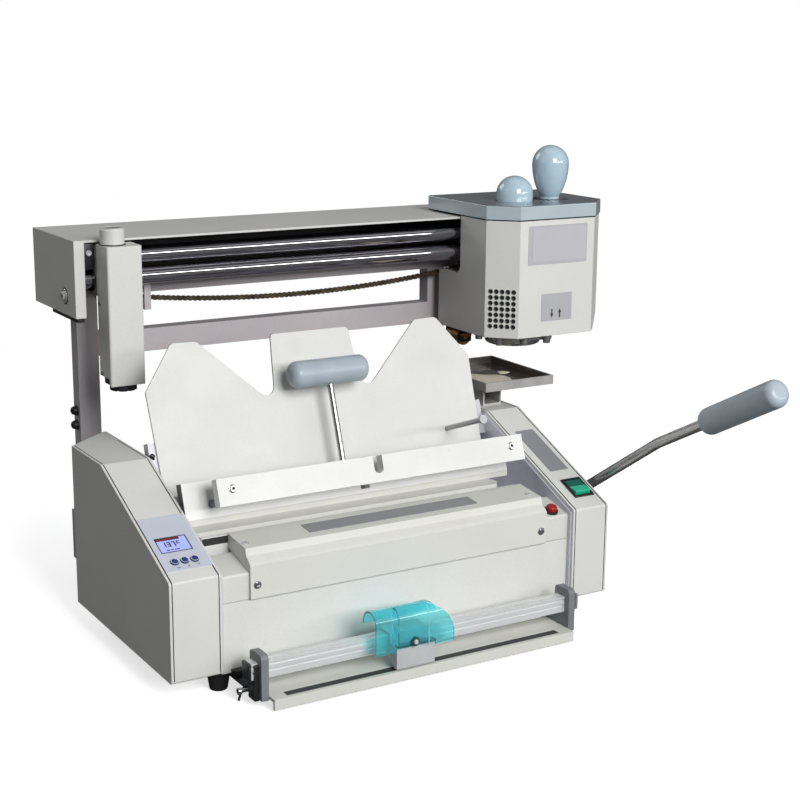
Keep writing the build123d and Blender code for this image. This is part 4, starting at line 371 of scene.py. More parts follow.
# Lilac-grey enamel on the frame behind, sprayed thin and almost smooth.
FRAME_ENAMEL = Speckled("sprayed_enamel_lilac_grey", "#BAB3B5", "#B0A9AD", 0.38, edge_mm=0.8,
                        grain_mm=1.4, grain_depth_mm=0.015, drift_mm=110, fleck="#9C979E", fleck_share=0.3)
# Ground press bars under a pale enamel, softly glossed. The rear bar's left end, in the gap beside the
# casing, is painted black as shade.
BAR_COAT = Parted("ground_bar_light_enamel", "#DFDFDD", "#D7D7D5", 0.3, edge_mm=0.6, grain_mm=0.9,
                  grain_depth_mm=0.012, drift_mm=60, fleck="#C4C5C4", fleck_share=0.3, other="#1C1C1E",
                  high=(-0.3022, FAR, FAR))
# The same coat on the sliding bar, whose guide pins are bare steel, given a dark blue grey as a painted
# reflection of the dim room.
CLAMP_COAT = replace(BAR_COAT, name="ground_clamp_bar_with_bare_pins", other="#5A6370",
                     low=(-FAR, -0.03345, -FAR), high=(FAR, FAR, 0.1829))
# Gloss moulded ABS in pale blue grey: clean reflections and a faint flow drift. Its top is painted darker, a
# painted reflection of the dim room above.
CAP_ABS = Parted("moulded_abs_pale_blue_grey", "#B4C1C6", "#A9B8BF", 0.16, edge_mm=1.0, drift_mm=70,
                 grain_mm=3.0, grain_depth_mm=0.008, coat=0.4, coat_roughness=0.05, other="#737D82",
                 low=(-FAR, -FAR, 0.4372))
# The same plastic in the knobs, moulded in sky grey: its highlights are small and sharp.
KNOB_ABS = Finish("moulded_abs_sky_grey", "#B4CAD6", "#ABC2D0", 0.12, drift_mm=40, grain_mm=3.0,
                  grain_depth_mm=0.005, coat=0.5, coat_roughness=0.04)
# Dipped vinyl on the grips: soft, with one broad dull highlight along each.
GRIP_VINYL = Finish("dipped_vinyl_blue_grey", "#A9B4BC", "#9BA8B2", 0.36, drift_mm=30, grain_mm=0.9,
                    grain_depth_mm=0.02)
# Hard-chromed ground shafting: mirror bands along its length.
SHAFT_CHROME = Finish("hard_chromed_shafting", "#B4B2B9", "#A9A7AF", 0.1, metallic=1.0, drift_mm=90,
                      grain_mm=3.0, grain_depth_mm=0.0003, roughness_spread=0.03, stretch=(0.05, 1.0, 1.0))
# Drawn steel rod and turned steel: bright grey metal, with highlights drawn out softly.
DRAWN_STEEL = Finish("drawn_bright_steel", "#B5B5B6", "#A2A2A4", 0.26, metallic=1.0, drift_mm=30,
                     grain_mm=0.7, grain_depth_mm=0.004, edge_mm=0.3)
# Nickel-plated screws: almost white, with small crisp glints.
BRIGHT_SCREW = Finish("bright_nickel_screw", "#D5D6D8", "#C2C3C5", 0.22, metallic=0.35, drift_mm=6,
                      grain_mm=0.6, grain_depth_mm=0.004, edge_mm=0.2)
# Zinc-plated screws: a softer and greyer shine.
SCREW_ZINC = Finish("zinc_plated_screw", "#B9BABB", "#A3A5A6", 0.3, metallic=1.0, drift_mm=6,
                    grain_mm=0.6, grain_depth_mm=0.005, edge_mm=0.15)
# Brackets sprayed with the plate that they hold, and the bare steel stud between them.
STUD_STEEL = Parted("bracket_enamel_with_bare_stud", "#B7B5BA", "#ADABB1", 0.34, metallic=0.25, drift_mm=30,
                    grain_mm=0.7, grain_depth_mm=0.004, other="#A9A9AB", low=(-0.26, -FAR, -FAR),
                    high=(0.085, FAR, FAR))
# Zinc-plated tray: a dull clouded shine, and brown inside where glue has cooked on.
TRAY_ZINC = Parted("zinc_plated_tray", "#C0BFBD", "#A9A8A6", 0.3, metallic=0.35, drift_mm=26, grain_mm=0.9,
                   grain_depth_mm=0.01, edge_mm=0.4, other="#57504A", low=(0.1272, 0.0817, 0.2265),
                   high=(0.2238, 0.2133, 0.2356))
# Blackened steel: near black, with a dull glint along its edges.
DARK_STEEL = Finish("blackened_steel", "#37373A", "#2A2A2D", 0.45, metallic=0.6, drift_mm=25,
                    grain_mm=0.8, grain_depth_mm=0.015, edge_mm=0.4)
# Oiled roller chain: brown black with bright worn links.
OILED_CHAIN = Finish("oiled_roller_chain", "#655844", "#2E2721", 0.32, metallic=0.6, drift_mm=9,
                     grain_mm=0.8, grain_depth_mm=0.01)
# Anodised rail: pale satin silver, streaked along its length.
EXTRUSION = Finish("anodised_extrusion", "#DCDDDD", "#D2D3D4", 0.38, metallic=0.25, drift_mm=60,
                   grain_mm=0.6, grain_depth_mm=0.006, edge_mm=0.5, stretch=(0.04, 1.0, 1.0))
# Machined aluminium: soft grey metal with a cloudy shine.
CAST_ALUMINIUM = Finish("machined_aluminium", "#B7B8BA", "#A4A5A8", 0.36, metallic=0.9, drift_mm=22,
                        grain_mm=0.8, grain_depth_mm=0.012, edge_mm=0.6)
# Machined brass: warm yellow brown with clear highlights.
WARM_BRASS = Finish("machined_brass", "#B98C53", "#93683A", 0.3, metallic=0.95, drift_mm=14,
                    grain_mm=0.8, grain_depth_mm=0.008, edge_mm=0.3)
# Moulded black rubber: almost matt, so its edges only just show.
FOOT_RUBBER = Finish("moulded_black_rubber", "#1E1E1F", "#2A2A2B", 0.72, drift_mm=12, grain_mm=0.8,
                     grain_depth_mm=0.03)
# Extruded rubber strip: dark green grey, its grain drawn out along it.
STRIP_RUBBER = Finish("extruded_grey_rubber_strip", "#2F3231", "#3A3D3B", 0.6, drift_mm=30, grain_mm=0.8,
                      grain_depth_mm=0.03, stretch=(0.2, 1.0, 1.0))
# Black moulded ABS: satin, with soft light on its edges.
BLACK_ABS = Finish("moulded_abs_black", "#1C1D1F", "#252628", 0.35, drift_mm=14, grain_mm=0.8,
                   grain_depth_mm=0.02, edge_mm=0.4)
# Textured mid-grey ABS: even and matt, with a fine spark-eroded grain.
GREY_ABS = Finish("textured_abs_mid_grey", "#7C7F82", "#6E7174", 0.5, drift_mm=24, grain_mm=0.8,
                  grain_depth_mm=0.03, edge_mm=0.6)
# Painted carriage: silver grey and satin.
BRACKET_PAINT = Finish("painted_bracket_silver_grey", "#BBBCBE", "#AEB0B3", 0.42, drift_mm=24, grain_mm=0.8,
                       grain_depth_mm=0.015, edge_mm=0.5)
# Tinted blown acrylic: pale teal, and what lies behind it shows through.
HOOD_ACRYLIC = Clear("blown_acrylic_teal", "#93F0F7", "#86EAF3", 0.09, ior=1.49, drift_mm=40,
                     grain_mm=6.0, grain_depth_mm=0.01, roughness_spread=0.02, transmission=0.92)
# The hood's seam, where the acrylic is seen along its thickness: a bright, denser teal.
HOOD_EDGE = Clear("acrylic_seam_bright_teal", "#8FE9F0", "#7FDDE5", 0.1, ior=1.49, drift_mm=20,
                  grain_mm=3.0, grain_depth_mm=0.01, transmission=0.3)
# Printed polyester film on the panel: pale lilac under a thin clear gloss.
PANEL_FILM = Finish("printed_polyester_film_lilac", "#C2C8D3", "#B9BFCC", 0.32, drift_mm=30, grain_mm=0.8,
                    grain_depth_mm=0.01, coat=0.3, coat_roughness=0.2)
# Bare polyester label: lilac grey, smooth and satin.
LABEL_FILM = Finish("polyester_label_lilac_grey", "#B6B5BA", "#B0AFB5", 0.36, drift_mm=50, grain_mm=0.8,
                    grain_depth_mm=0.01)
# Bare name strips: mid grey, brushed along their length.
PLATE_FILM = Finish("brushed_name_strip_grey", "#9A9B9E", "#8E8F93", 0.36, metallic=0.25, drift_mm=60,
                    grain_mm=0.7, grain_depth_mm=0.006, stretch=(0.05, 1.0, 1.0))
# The field of the large label, a shade paler than its border.
LABEL_CORE = Finish("polyester_label_field", "#BCBBC0", "#B6B5BB", 0.36, drift_mm=50, grain_mm=0.8,
                    grain_depth_mm=0.01)
# Matt sticker: mid grey, with hardly a highlight.
STICKER_FILM = Finish("matt_sticker_mid_grey", "#B1B1B5", "#A9A9AE", 0.45, drift_mm=40, grain_mm=0.8,
                      grain_depth_mm=0.01)
# Screen-printed ink: flat and dark.
MARK_INK = Finish("screen_printed_ink_dark", "#3B3C48", "#33343F", 0.5, drift_mm=8, grain_mm=0.6)
# Backlit display behind clear plastic: an even blue glow under sharp reflections.
DISPLAY_GLASS = Glowing("backlit_display_blue", "#3A63C8", "#4A76D6", 0.12, drift_mm=14, grain_mm=2.0,
                        grain_depth_mm=0.004, glow="#3D69D2", strength=0.28, coat=0.5, coat_roughness=0.05)
# The lit field of the display's picture: pale blue, and it glows softly.
SCREEN_FIELD = Glowing("display_field_pale_blue", "#A9AEE6", "#8FA2DC", 0.2, drift_mm=12, grain_mm=0.8,
                       grain_depth_mm=0.002, glow="#9AA8E8", strength=0.3)
# The header over the field: dark red and barely lit.
SCREEN_RED = Glowing("display_header_dark_red", "#6E2230", "#5E1C29", 0.2, drift_mm=8, grain_mm=0.8,
                     grain_depth_mm=0.002, glow="#6E2230", strength=0.1)
# The dark segments of the reading, which let no light through.
SCREEN_INK = Finish("display_reading_dark_blue", "#252C55", "#1F264B", 0.25, drift_mm=6, grain_mm=0.8,
                    grain_depth_mm=0.002)
# Moulded navy buttons: satin, with a small round highlight on each.
BUTTON_ABS = Finish("moulded_button_navy", "#24366F", "#1D2C5E", 0.25, drift_mm=6, grain_mm=0.8,
                    grain_depth_mm=0.006)
# A pale ring on each button: a painted highlight round its dome.
BUTTON_HALO = Finish("button_ring_painted_highlight", "#C9D2EC", "#BCC7E6", 0.3, drift_mm=6, grain_mm=0.8,
                     grain_depth_mm=0.004)
# Lit rocker: clear green gloss. Its rear half, which tips away from the light, is painted dark green as
# shade.
ROCKER_LAMP = Parted("lit_rocker_green", "#2CC79C", "#22B48A", 0.1, drift_mm=10, grain_mm=2.0,
                     grain_depth_mm=0.004, coat=0.6, coat_roughness=0.04, other="#11604F",
                     low=(-FAR, -0.0735, -FAR))
# Moulded red stop button: deep red with a clear highlight.
STOP_ABS = Finish("moulded_stop_red", "#A31D1B", "#8C1716", 0.22, drift_mm=8, grain_mm=0.8,
                  grain_depth_mm=0.006)
# The inside of holes, slots and seams, where no light comes back.
VENT_SHADE = Finish("dark_inside_of_vent", "#19191B", "#101012", 0.85, drift_mm=4, grain_mm=0.8)
# Set hot-melt glue: cream, smooth and a little translucent.
MELTED_GLUE = Clear("set_hot_melt_cream", "#FBF6E4", "#EADFBF", 0.24, drift_mm=9, grain_mm=3.0,
                    grain_depth_mm=0.2, transmission=0.1)
# Glue cooked onto the tray's floor: dark, smooth and glossy.
COOKED_GLUE = Finish("cooked_glue_film", "#4B4239", "#332D27", 0.14, drift_mm=30, grain_mm=2.5,
                     grain_depth_mm=0.01, coat=0.4, coat_roughness=0.06)
# Galvanised sheet inside the casings: bluish and softly mirrored.
GALVANISED = Finish("galvanised_inner_sheet", "#CDCED8", "#BDBECA", 0.3, metallic=0.2, drift_mm=45,
                    grain_mm=1.2, grain_depth_mm=0.01, edge_mm=0.6)
# Drawn copper tube: red brown metal with a soft line of light.
COPPER_TUBE = Finish("drawn_copper_tube", "#B4663F", "#8E4B2D", 0.32, metallic=1.0, drift_mm=9,
                     grain_mm=0.8, grain_depth_mm=0.006)

NODE_FINISH: dict[Finish, tuple[str, ...]] = {
    CASING_COAT: ("casing_left", "casing_right", "front_apron", "head_housing", "mill_housing"),
    BEAM_COAT: ("beam_cover",),
    COVER_COAT: ("front_ledge", "stepped_cover", "nip_platform", "crease_tray"),
    PLATE_COAT: ("rest_plate",),
    GALVANISED: ("inner_walls", "body_housing"),
    FRAME_ENAMEL: ("rear_base", "frame_posts", "lower_rail", "upper_rail",
                   "mill_carriage", "jaw_mounts", "handle_bracket"),
    TRAY_ZINC: ("drip_tray",),
    STUD_STEEL: ("rest_fittings",),
    CLAMP_COAT: ("front_jaw",),
    BAR_COAT: ("rear_jaw", "nip_jaw"),
    CAP_ABS: ("head_cap",),
    KNOB_ABS: ("knob_left", "knob_right"),
    GRIP_VINYL: ("handle_grip", "lever_grip"),
    SHAFT_CHROME: ("guide_rods",),
    DRAWN_STEEL: ("handle_rod", "press_lever", "glue_pan", "crease_wheel",
                  "sprocket_left", "sprocket_right"),
    DARK_STEEL: ("end_plates", "cutter", "glue_roller_yoke"),
    OILED_CHAIN: ("chain_run", "chain_return"),
    EXTRUSION: ("crease_rail",),
    CAST_ALUMINIUM: ("head_carriage",),
    WARM_BRASS: ("glue_roller",),
    FOOT_RUBBER: ("feet",),
    STRIP_RUBBER: ("crease_strip",),
    BLACK_ABS: ("rocker_bezel", "stop_collar", "mains_inlet"),
    GREY_ABS: ("creaser_plates",),
    BRACKET_PAINT: ("crease_carriage",),
    HOOD_ACRYLIC: ("crease_hood",),
    PANEL_FILM: ("control_panel",),
    DISPLAY_GLASS: ("display",),
    BUTTON_ABS: ("panel_button_left", "panel_button_middle", "panel_button_right"),
    ROCKER_LAMP: ("rocker",),
    STOP_ABS: ("stop_button",),
}


def dress_frame() -> None:
    """Gives every CAD node its finish, in the node's own material slots."""
    dressed = set()
    for finish, names in NODE_FINISH.items():
        for name in names:
            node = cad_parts[name]
            if not node.material_slots:
                node.data.materials.append(None)
            for slot in node.material_slots:
                slot.material = finish.material()
            dressed.add(name)
    for name in sorted(set(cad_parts) - dressed):
        LOG.warning("node %s has no finish", name)


# ---- shaping ----
def turned(profile: Profile, steps: int = 32) -> Mesh:
    """Spins a profile about Z, as a lathe does.

    Args:
        profile: (radius, height) points from the bottom to the top. A radius of 0 closes an end.
        steps: how many facets go round.

    Returns:
        The turned mesh.
    """
    mesh = bmesh.new()
    points = [mesh.verts.new((radius, 0, height)) for radius, height in profile]
    edges = [mesh.edges.new(pair) for pair in zip(points, points[1:])]
    bmesh.ops.spin(mesh, geom=points + edges, cent=(0, 0, 0), axis=(0, 0, 1), dvec=(0, 0, 0),
                   angle=math.tau, steps=steps, use_merge=True)
    bmesh.ops.remove_doubles(mesh, verts=mesh.verts, dist=1e-4)
    return mesh


def slab(size: Point, edge: float = 0.0, segments: int = 2) -> Mesh:
    """Makes a block on the XY plane with rounded edges.

    Args:
        size: its length, depth and height.
        edge: the radius of its edges.
        segments: facets across each rounded edge.

    Returns:
        The block, centred on Z, with its bottom at 0.
    """
    mesh = bmesh.new()
    bmesh.ops.create_cube(mesh, size=1.0)
    bmesh.ops.scale(mesh, vec=size, verts=mesh.verts)
    bmesh.ops.translate(mesh, vec=(0, 0, size[2] / 2), verts=mesh.verts)
    if edge:
        soften(mesh, mesh.edges[:], edge, segments)
    return mesh


def soften(mesh: Mesh, edges: Iterable[bmesh.types.BMEdge], radius: float, segments: int) -> None:
    """Rounds some edges of a mesh.

    Args:
        mesh: the mesh.
        edges: the edges that are rounded.
        radius: how far the rounding reaches.
        segments: facets across the rounding.
    """
    bmesh.ops.bevel(mesh, geom=list(edges), offset=radius, offset_type="OFFSET", segments=segments,
                    profile=0.5, affect="EDGES", clamp_overlap=True, material=-1)


def thicken(mesh: Mesh, faces: Sequence[bmesh.types.BMFace], way: Sequence[float]) -> None:
    """Extrudes some faces of a mesh.

    Args:
        mesh: the mesh.
        faces: the faces that are extruded together.
        way: how far they are carried.
    """
    grown = bmesh.ops.extrude_face_region(mesh, geom=faces)
    moved = [item for item in grown["geom"] if isinstance(item, bmesh.types.BMVert)]
    bmesh.ops.translate(mesh, vec=way, verts=moved)


def disc(radius: float, height: float, steps: int) -> Mesh:
    """Turns a plain disc.

    Args:
        radius: its radius.
        height: how thick it is.
        steps: facets round it. Six make the dark of a hexagon socket.

    Returns:
        The disc, with its bottom at 0.
    """
    return turned([(0, 0), (radius, 0), (radius, height), (0, height)], steps)


def cut_shape(points: Profile, thickness: float) -> Mesh:
    """Extrudes an outline, as a plate is cut from sheet.

    Args:
        points: the outline's corners in order.
        thickness: how thick the sheet is, upwards along Z.

    Returns:
        The plate, with its bottom at 0.
    """
    mesh = bmesh.new()
    thicken(mesh, [mesh.faces.new([mesh.verts.new((x, y, 0)) for x, y in points])], (0, 0, thickness))
    return mesh


def hung_block(points: Profile, height: float, edge: float, low: float) -> Mesh:
    """Makes a block that hangs from above, with its lower edges rounded.

    Args:
        points: its outline's corners in order.
        height: how high it is.
        edge: the radius of its lower edges.
        low: where its bottom is.

    Returns:
        The block.
    """
    mesh = cut_shape(points, height)
    lowest = [item for item in mesh.edges if all(vert.co.z < height / 2 for vert in item.verts)]
    soften(mesh, lowest, edge, segments=3)
    bmesh.ops.translate(mesh, vec=(0, 0, low), verts=mesh.verts)
    return mesh


def rod_along(points: Sequence[Point], radius: float, sides: int = 12) -> Mesh:
    """Bends a round bar through some points, with its ends closed.

    Args:
        points: the bar's centre line.
        radius: the bar's radius.
        sides: facets round it.

    Returns:
        The bent bar.
    """
    mesh = bmesh.new()
    last: list[bmesh.types.BMEdge] = []
    line = [Vector(point) for point in points]
    for number, spot in enumerate(line):
        before = (spot - line[number - 1]).normalized() if number else Vector()
        after = (line[number + 1] - spot).normalized() if number + 1 < len(line) else Vector()
        facing = Vector(UP).rotation_difference((before + after).normalized()).to_matrix().to_4x4()
        made = bmesh.ops.create_circle(mesh, cap_ends=number in (0, len(line) - 1), radius=radius,
                                       segments=sides, matrix=Matrix.Translation(spot) @ facing)
        verts = set(made["verts"])
        edges = [edge for edge in mesh.edges if set(edge.verts) <= verts and len(edge.link_faces) < 2]
        if last:
            bmesh.ops.bridge_loops(mesh, edges=last + edges)
        last = edges
    return mesh


def gathered(parts: Iterable[Mesh]) -> Mesh:
    """Puts several meshes into one.

    Args:
        parts: the meshes, which are used up.

    Returns:
        One mesh that holds them all.
    """
    whole = bmesh.new()
    for part in parts:
        bmesh.ops.recalc_face_normals(part, faces=part.faces)
        data = bpy.data.meshes.new("part")
        part.to_mesh(data)
        part.free()
        whole.from_mesh(data)
        bpy.data.meshes.remove(data)
    return whole


def set_at(mesh: Mesh, place: Sequence[float], axis: Sequence[float] = UP, turn: float = 0.0) -> Mesh:
    """Turns a mesh's Z to an axis and carries its origin to a place.

    Args:
        mesh: the mesh.
        place: where its origin goes.
        axis: the direction that its Z takes.
        turn: degrees that it is first turned about its own Z.

    Returns:
        The same mesh.
    """
    facing = Vector(UP).rotation_difference(Vector(axis)).to_matrix().to_4x4()
    spin = Matrix.Rotation(math.radians(turn), 4, "Z")
    bmesh.ops.transform(mesh, matrix=Matrix.Translation(place) @ facing @ spin, verts=mesh.verts)
    return mesh


def publish(mesh: Mesh, name: str, finish: Finish, body: Body,
            smooth: float = 35.0) -> bpy.types.Object:
    """Makes a finished piece of a mesh, in metres and in the row frame.

    Args:
        mesh: the mesh in the machine's millimetres, which is used up.
        name: the piece's name.
        finish: its finish.
        body: the body that it rides on.
        smooth: the angle in degrees past which an edge stays sharp.

    Returns:
        The piece.
    """
    bmesh.ops.recalc_face_normals(mesh, faces=mesh.faces)
    bmesh.ops.transform(mesh, matrix=Matrix.Translation(DATUM) @ Matrix.Scale(MM, 4), verts=mesh.verts)
    data = bpy.data.meshes.new(name)
    mesh.to_mesh(data)
    mesh.free()
    data.shade_smooth()
    data.set_sharp_from_angle(angle=math.radians(smooth))
    data.materials.append(finish.material())
    piece = bpy.data.objects.new(name, data)
    bpy.context.scene.collection.objects.link(piece)
    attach(piece, body.value)
    LOG.info("piece %s rides on %s, %d faces", name, body.value, len(data.polygons))
    return piece


# ---- fasteners ----
@dataclass(frozen=True)
class Screw:
    """A screw head that stands on a surface."""

    radius: float
    height: float
    drive: Drive
    washer: float = 0.0
    domed: bool = True
    washer_height: float = 1.0
    washer_bevel: float = 0.3
    washer_shoulder: float = 0.7
    facets: int = 24
    recess_depth: float = 0.45
    slot_reach: float = 0.72
    cross_reach: float = 0.55
    blade: float = 0.15
    socket: float = 0.45

    def profile(self) -> list[tuple[float, float]]:
        """Gives the head's outline, whose shoulder is lower and rounder on a domed head.

        Returns:
            Its (radius, height) points, from the bottom to the middle of the top.
        """
        low, wide = (0.55, 0.78) if self.domed else (0.88, 0.94)
        return [(0, 0), (self.radius, 0), (self.radius, self.height * low), (self.radius * wide, self.height),
                (0, self.height)]

    def boxes(self) -> list[tuple[float, float]]:
        """Gives the recess of a slotted or cross-head screw as crossing boxes.

        Returns:
            Half of each box's size along X and along Y.
        """
        wide = self.radius * self.blade
        if self.drive is Drive.SLOT:
            return [(self.radius * self.slot_reach, wide)]
        return [(self.radius * self.cross_reach, wide), (wide, self.radius * self.cross_reach)]

    def sides(self) -> list[tuple[float, float]]:
        """Gives the lines that bound the recess.

        Returns:
            The angle of each line's normal and its offset along it.
        """
        if self.drive is Drive.HEX:
            return [(angle, self.radius * self.socket) for angle in range(0, 360, 60)]
        return [(angle, offset * sign) for box in self.boxes() for angle, offset in zip((0, 90), box)
                for sign in (1, -1)]

    def holds(self, x: float, y: float) -> bool:
        """Finds out whether a point of the head's top lies in the recess.

        Args:
            x: the point's place along X.
            y: the point's place along Y.

        Returns:
            Whether it does.
        """
        if self.drive is Drive.HEX:
            return all(x * math.cos(math.radians(a)) + y * math.sin(math.radians(a)) < offset
                       for a, offset in self.sides())
        return any(abs(x) < half_x and abs(y) < half_y for half_x, half_y in self.boxes())

    def top(self, mesh: Mesh) -> list[bmesh.types.BMFace]:
        """Finds the faces of a head's flat top.

        Args:
            mesh: the head.

        Returns:
            The faces.
        """
        mesh.normal_update()
        return [face for face in mesh.faces if abs(face.normal.z) > 0.9
                and face.calc_center_median().z > self.height * 0.9]

    def head(self) -> Mesh:
        """Turns the head and sinks the driver's recess into its top.

        Returns:
            The head, with its bottom at 0.
        """
        mesh = turned(self.profile(), self.facets)
        for angle, offset in self.sides():
            normal = Vector((math.cos(math.radians(angle)), math.sin(math.radians(angle)), 0))
            faces = self.top(mesh)
            loose = list({item for face in faces for item in (*face.verts, *face.edges)}) + faces
            bmesh.ops.bisect_plane(mesh, geom=loose, dist=1e-5, plane_co=normal * offset, plane_no=normal)
        sunk = [face for face in self.top(mesh) if self.holds(*face.calc_center_median().xy)]
        thicken(mesh, sunk, (0, 0, -self.height * self.recess_depth))
        bmesh.ops.delete(mesh, geom=[face for face in sunk if face.is_valid], context="FACES")
        return mesh

    def seated(self, turn: float = 0.0) -> Mesh:
        """Gives the head on its washer, standing at the origin.

        Args:
            turn: degrees that the recess is turned.

        Returns:
            The head, with its washer if it has one.
        """
        head = set_at(self.head(), (0, 0, self.washer_height if self.washer else 0), turn=turn)
        if not self.washer:
            return head
        washer = turned([(0, 0), (self.washer, 0), (self.washer, self.washer_height * self.washer_shoulder),
                         (self.washer - self.washer_bevel, self.washer_height), (0, self.washer_height)],
                        steps=28)
        return gathered([head, washer])


# ---- faces that fittings lie on ----
@dataclass(frozen=True)
class Slope:
    """A face that rises to the rear from a line along X, by its lean in degrees.

    What lies on it is drawn with X to the right, Y up the face and Z out of it.
    """

    y: float
    z: float
    lean: float

    def lay(self, mesh: Mesh, x: float = 0.0, along: float = 0.0, out: float = 0.0) -> Mesh:
        """Lays a mesh on the face.

        Args:
            mesh: the mesh, drawn with Y up the face and Z out of it.
            x: how far to the right its origin lies.
            along: how far up the face its origin lies.
            out: how far off the face its origin lies.

        Returns:
            The same mesh.
        """
        face = Matrix.Translation((0, self.y, self.z)) @ Matrix.Rotation(math.radians(self.lean), 4, "X")
        bmesh.ops.transform(mesh, matrix=face @ Matrix.Translation((x, along, out)), verts=mesh.verts)
        return mesh


CASING_SLOPE = Slope(0.0, 103.0, 23.08)
COVER_TOP = Slope(16.0, 119.5, 6.31)
COVER_FRONT = Slope(4.0, 70.0, 88.35)
BAR_FACE = Slope(54.7, 143.35, 70.5)
HEAD_FRONT = Slope(230.0, 248.0, 90.0)


# ---- outlines, rings and strips ----
def corner_arc(before: Sequence[float], corner: Sequence[float], after: Sequence[float], radius: float,
               steps: int) -> list[tuple[float, ...]]:
    """Rounds one corner of a path.

    Args:
        before: the point before the corner.
        corner: the corner.
        after: the point after it.
        radius: the corner's radius.
        steps: facets across it.

    Returns:
        The points of the arc.
    """
    spot = Vector(corner)
    back, ahead = (Vector(before) - spot).normalized(), (Vector(after) - spot).normalized()
    half = back.angle(ahead) / 2
    middle = spot + (back + ahead).normalized() * (radius / math.sin(half))
    start = spot + back * (radius / math.tan(half)) - middle
    end = spot + ahead * (radius / math.tan(half)) - middle
    return [tuple(middle + start.slerp(end, step / steps)) for step in range(steps + 1)]


def rounded(points: Profile, radius: float, steps: int = 5) -> list[tuple[float, float]]:
    """Rounds the corners of a closed outline.

    Args:
        points: its corners in order.
        radius: the corners' radius.
        steps: facets across each corner.

    Returns:
        The outline's points.
    """
    turns = zip(points[-1:] + points[:-1], points, points[1:] + points[:1])
    return [point for turn in turns for point in corner_arc(*turn, radius, steps)]


def bent(points: Sequence[Point], radius: float, steps: int = 5) -> list[Point]:
    """Rounds the bends of an open path.

    Args:
        points: its ends and its corners in order.
        radius: the radius of its bends.
        steps: facets across each bend.

    Returns:
        The path's points.
    """
    turns = zip(points, points[1:], points[2:])
    bends = [point for turn in turns for point in corner_arc(*turn, radius, steps)]
    return [points[0], *bends, points[-1]]


def oblong(width: float, depth: float, radius: float = 0.0) -> list[tuple[float, float]]:
    """Gives a rectangle's outline, centred on the origin.

    Args:
        width: its size along X.
        depth: its size along Y.
        radius: the radius of its corners.

    Returns:
        The outline's points.
    """
    x, y = width / 2, depth / 2
    corners = [(-x, -y), (x, -y), (x, y), (-x, y)]
    return rounded(corners, radius) if radius else corners


def ring(inner: float, outer: float, height: float, steps: int = 40) -> Mesh:
    """Turns a flat ring.

    Args:
        inner: the hole's radius.
        outer: the ring's radius.
        height: how thick it is.
        steps: facets round it.

    Returns:
        The ring, with its bottom at 0.
    """
    edge = min(height, outer - inner) * 0.2
    return turned([(inner, 0), (outer, 0), (outer, height - edge), (outer - edge, height),
                   (inner + edge, height), (inner, height - edge), (inner, 0)], steps)


def side_shape(points: Profile, x: float, width: float) -> Mesh:
    """Extrudes an outline drawn in the machine's side view.

    Args:
        points: the outline's corners as (Y, Z).
        x: where it starts.
        width: how far it reaches to the right.

    Returns:
        The shape.
    """
    mesh = bmesh.new()
    thicken(mesh, [mesh.faces.new([mesh.verts.new((x, y, z)) for y, z in points])], (width, 0, 0))
    return mesh


def band(path: Profile, depth: float, x: float, width: float) -> Mesh:
    """Makes a strip that follows a path in the machine's side view.

    Args:
        path: the strip's outer edge as (Y, Z).
        depth: how far the strip reaches inwards, to the right of the path's direction.
        x: where it starts.
        width: how wide it is.

    Returns:
        The strip.
    """
    line = [Vector(point) for point in path]
    inner = []
    for number, spot in enumerate(line):
        before = (spot - line[max(number - 1, 0)]).normalized()
        after = (line[min(number + 1, len(line) - 1)] - spot).normalized()
        way = (before + after).normalized()
        inner.append((spot.x + way.y * depth, spot.y - way.x * depth))
    return side_shape([*path, *reversed(inner)], x, width)


# ---- fittings ----
@dataclass(frozen=True)
class Label:
    """A bare label or strip: its size, and where its middle lies to the right and up a face."""

    width: float
    height: float
    corner: float
    x: float
    along: float
    thickness: float = 0.35
    out: float = 0.0

    def on(self, face: Slope) -> Mesh:
        """Cuts the label and lays it on a face.

        Args:
            face: the face.

        Returns:
            The label.
        """
        sheet = cut_shape(oblong(self.width, self.height, self.corner), self.thickness)
        return face.lay(sheet, self.x, self.along, self.out)


@dataclass(frozen=True)
class CasingTrim:
    """The dark seams where each casing's skins meet, and the bare plate on the right slope."""

    spans: tuple[tuple[str, float, float], ...] = (("left", 0.0, 55.0), ("right", 480.0, 528.0))
    seam_width: float = 1.0
    seam_depth: float = 0.6
    proud: float = 0.12
    skin: float = 2.6
    front_low: float = 2.8
    front_high: float = 101.2
    front_bend: tuple[float, float] = (0.35, 103.2)
    slope_foot: tuple[float, float] = (1.5, 104.0)
    slope_head: tuple[float, float] = (174.6, 177.5)
    top: float = 178.0
    top_start: float = 177.6
    top_end: float = 262.0
    plate: Label = Label(26.0, 79.0, 1.5, 506.0, 107.5, 0.5)

    def profile(self) -> list[tuple[float, float]]:
        """Gives a casing's front, slope and top as a path just outside them.

        Returns:
            The path's points as (Y, Z).
        """
        out = self.proud
        slope = [(y, z + out) for y, z in (self.slope_foot, self.slope_head)]
        return [(-out, self.front_low), (-out, self.front_high), self.front_bend, *slope,
                (self.top_start, self.top + out), (self.top_end, self.top + out)]

    def seams(self, name: str, left: float, right: float) -> None:
        """Makes the two seams of one casing.

        Args:
            name: the casing's side.
            left: where its left face is.
            right: where its right face is.
        """
        starts = (left + self.skin, right - self.skin - self.seam_width)
        strips = [band(self.profile(), self.seam_depth, x, self.seam_width) for x in starts]
        publish(gathered(strips), f"casing_{name}_seams", VENT_SHADE, Body.BASE)

    def build(self) -> None:
        """Makes the seams and the plate."""
        for name, left, right in self.spans:
            self.seams(name, left, right)
        publish(self.plate.on(CASING_SLOPE), "right_slope_plate", PLATE_FILM, Body.BASE)


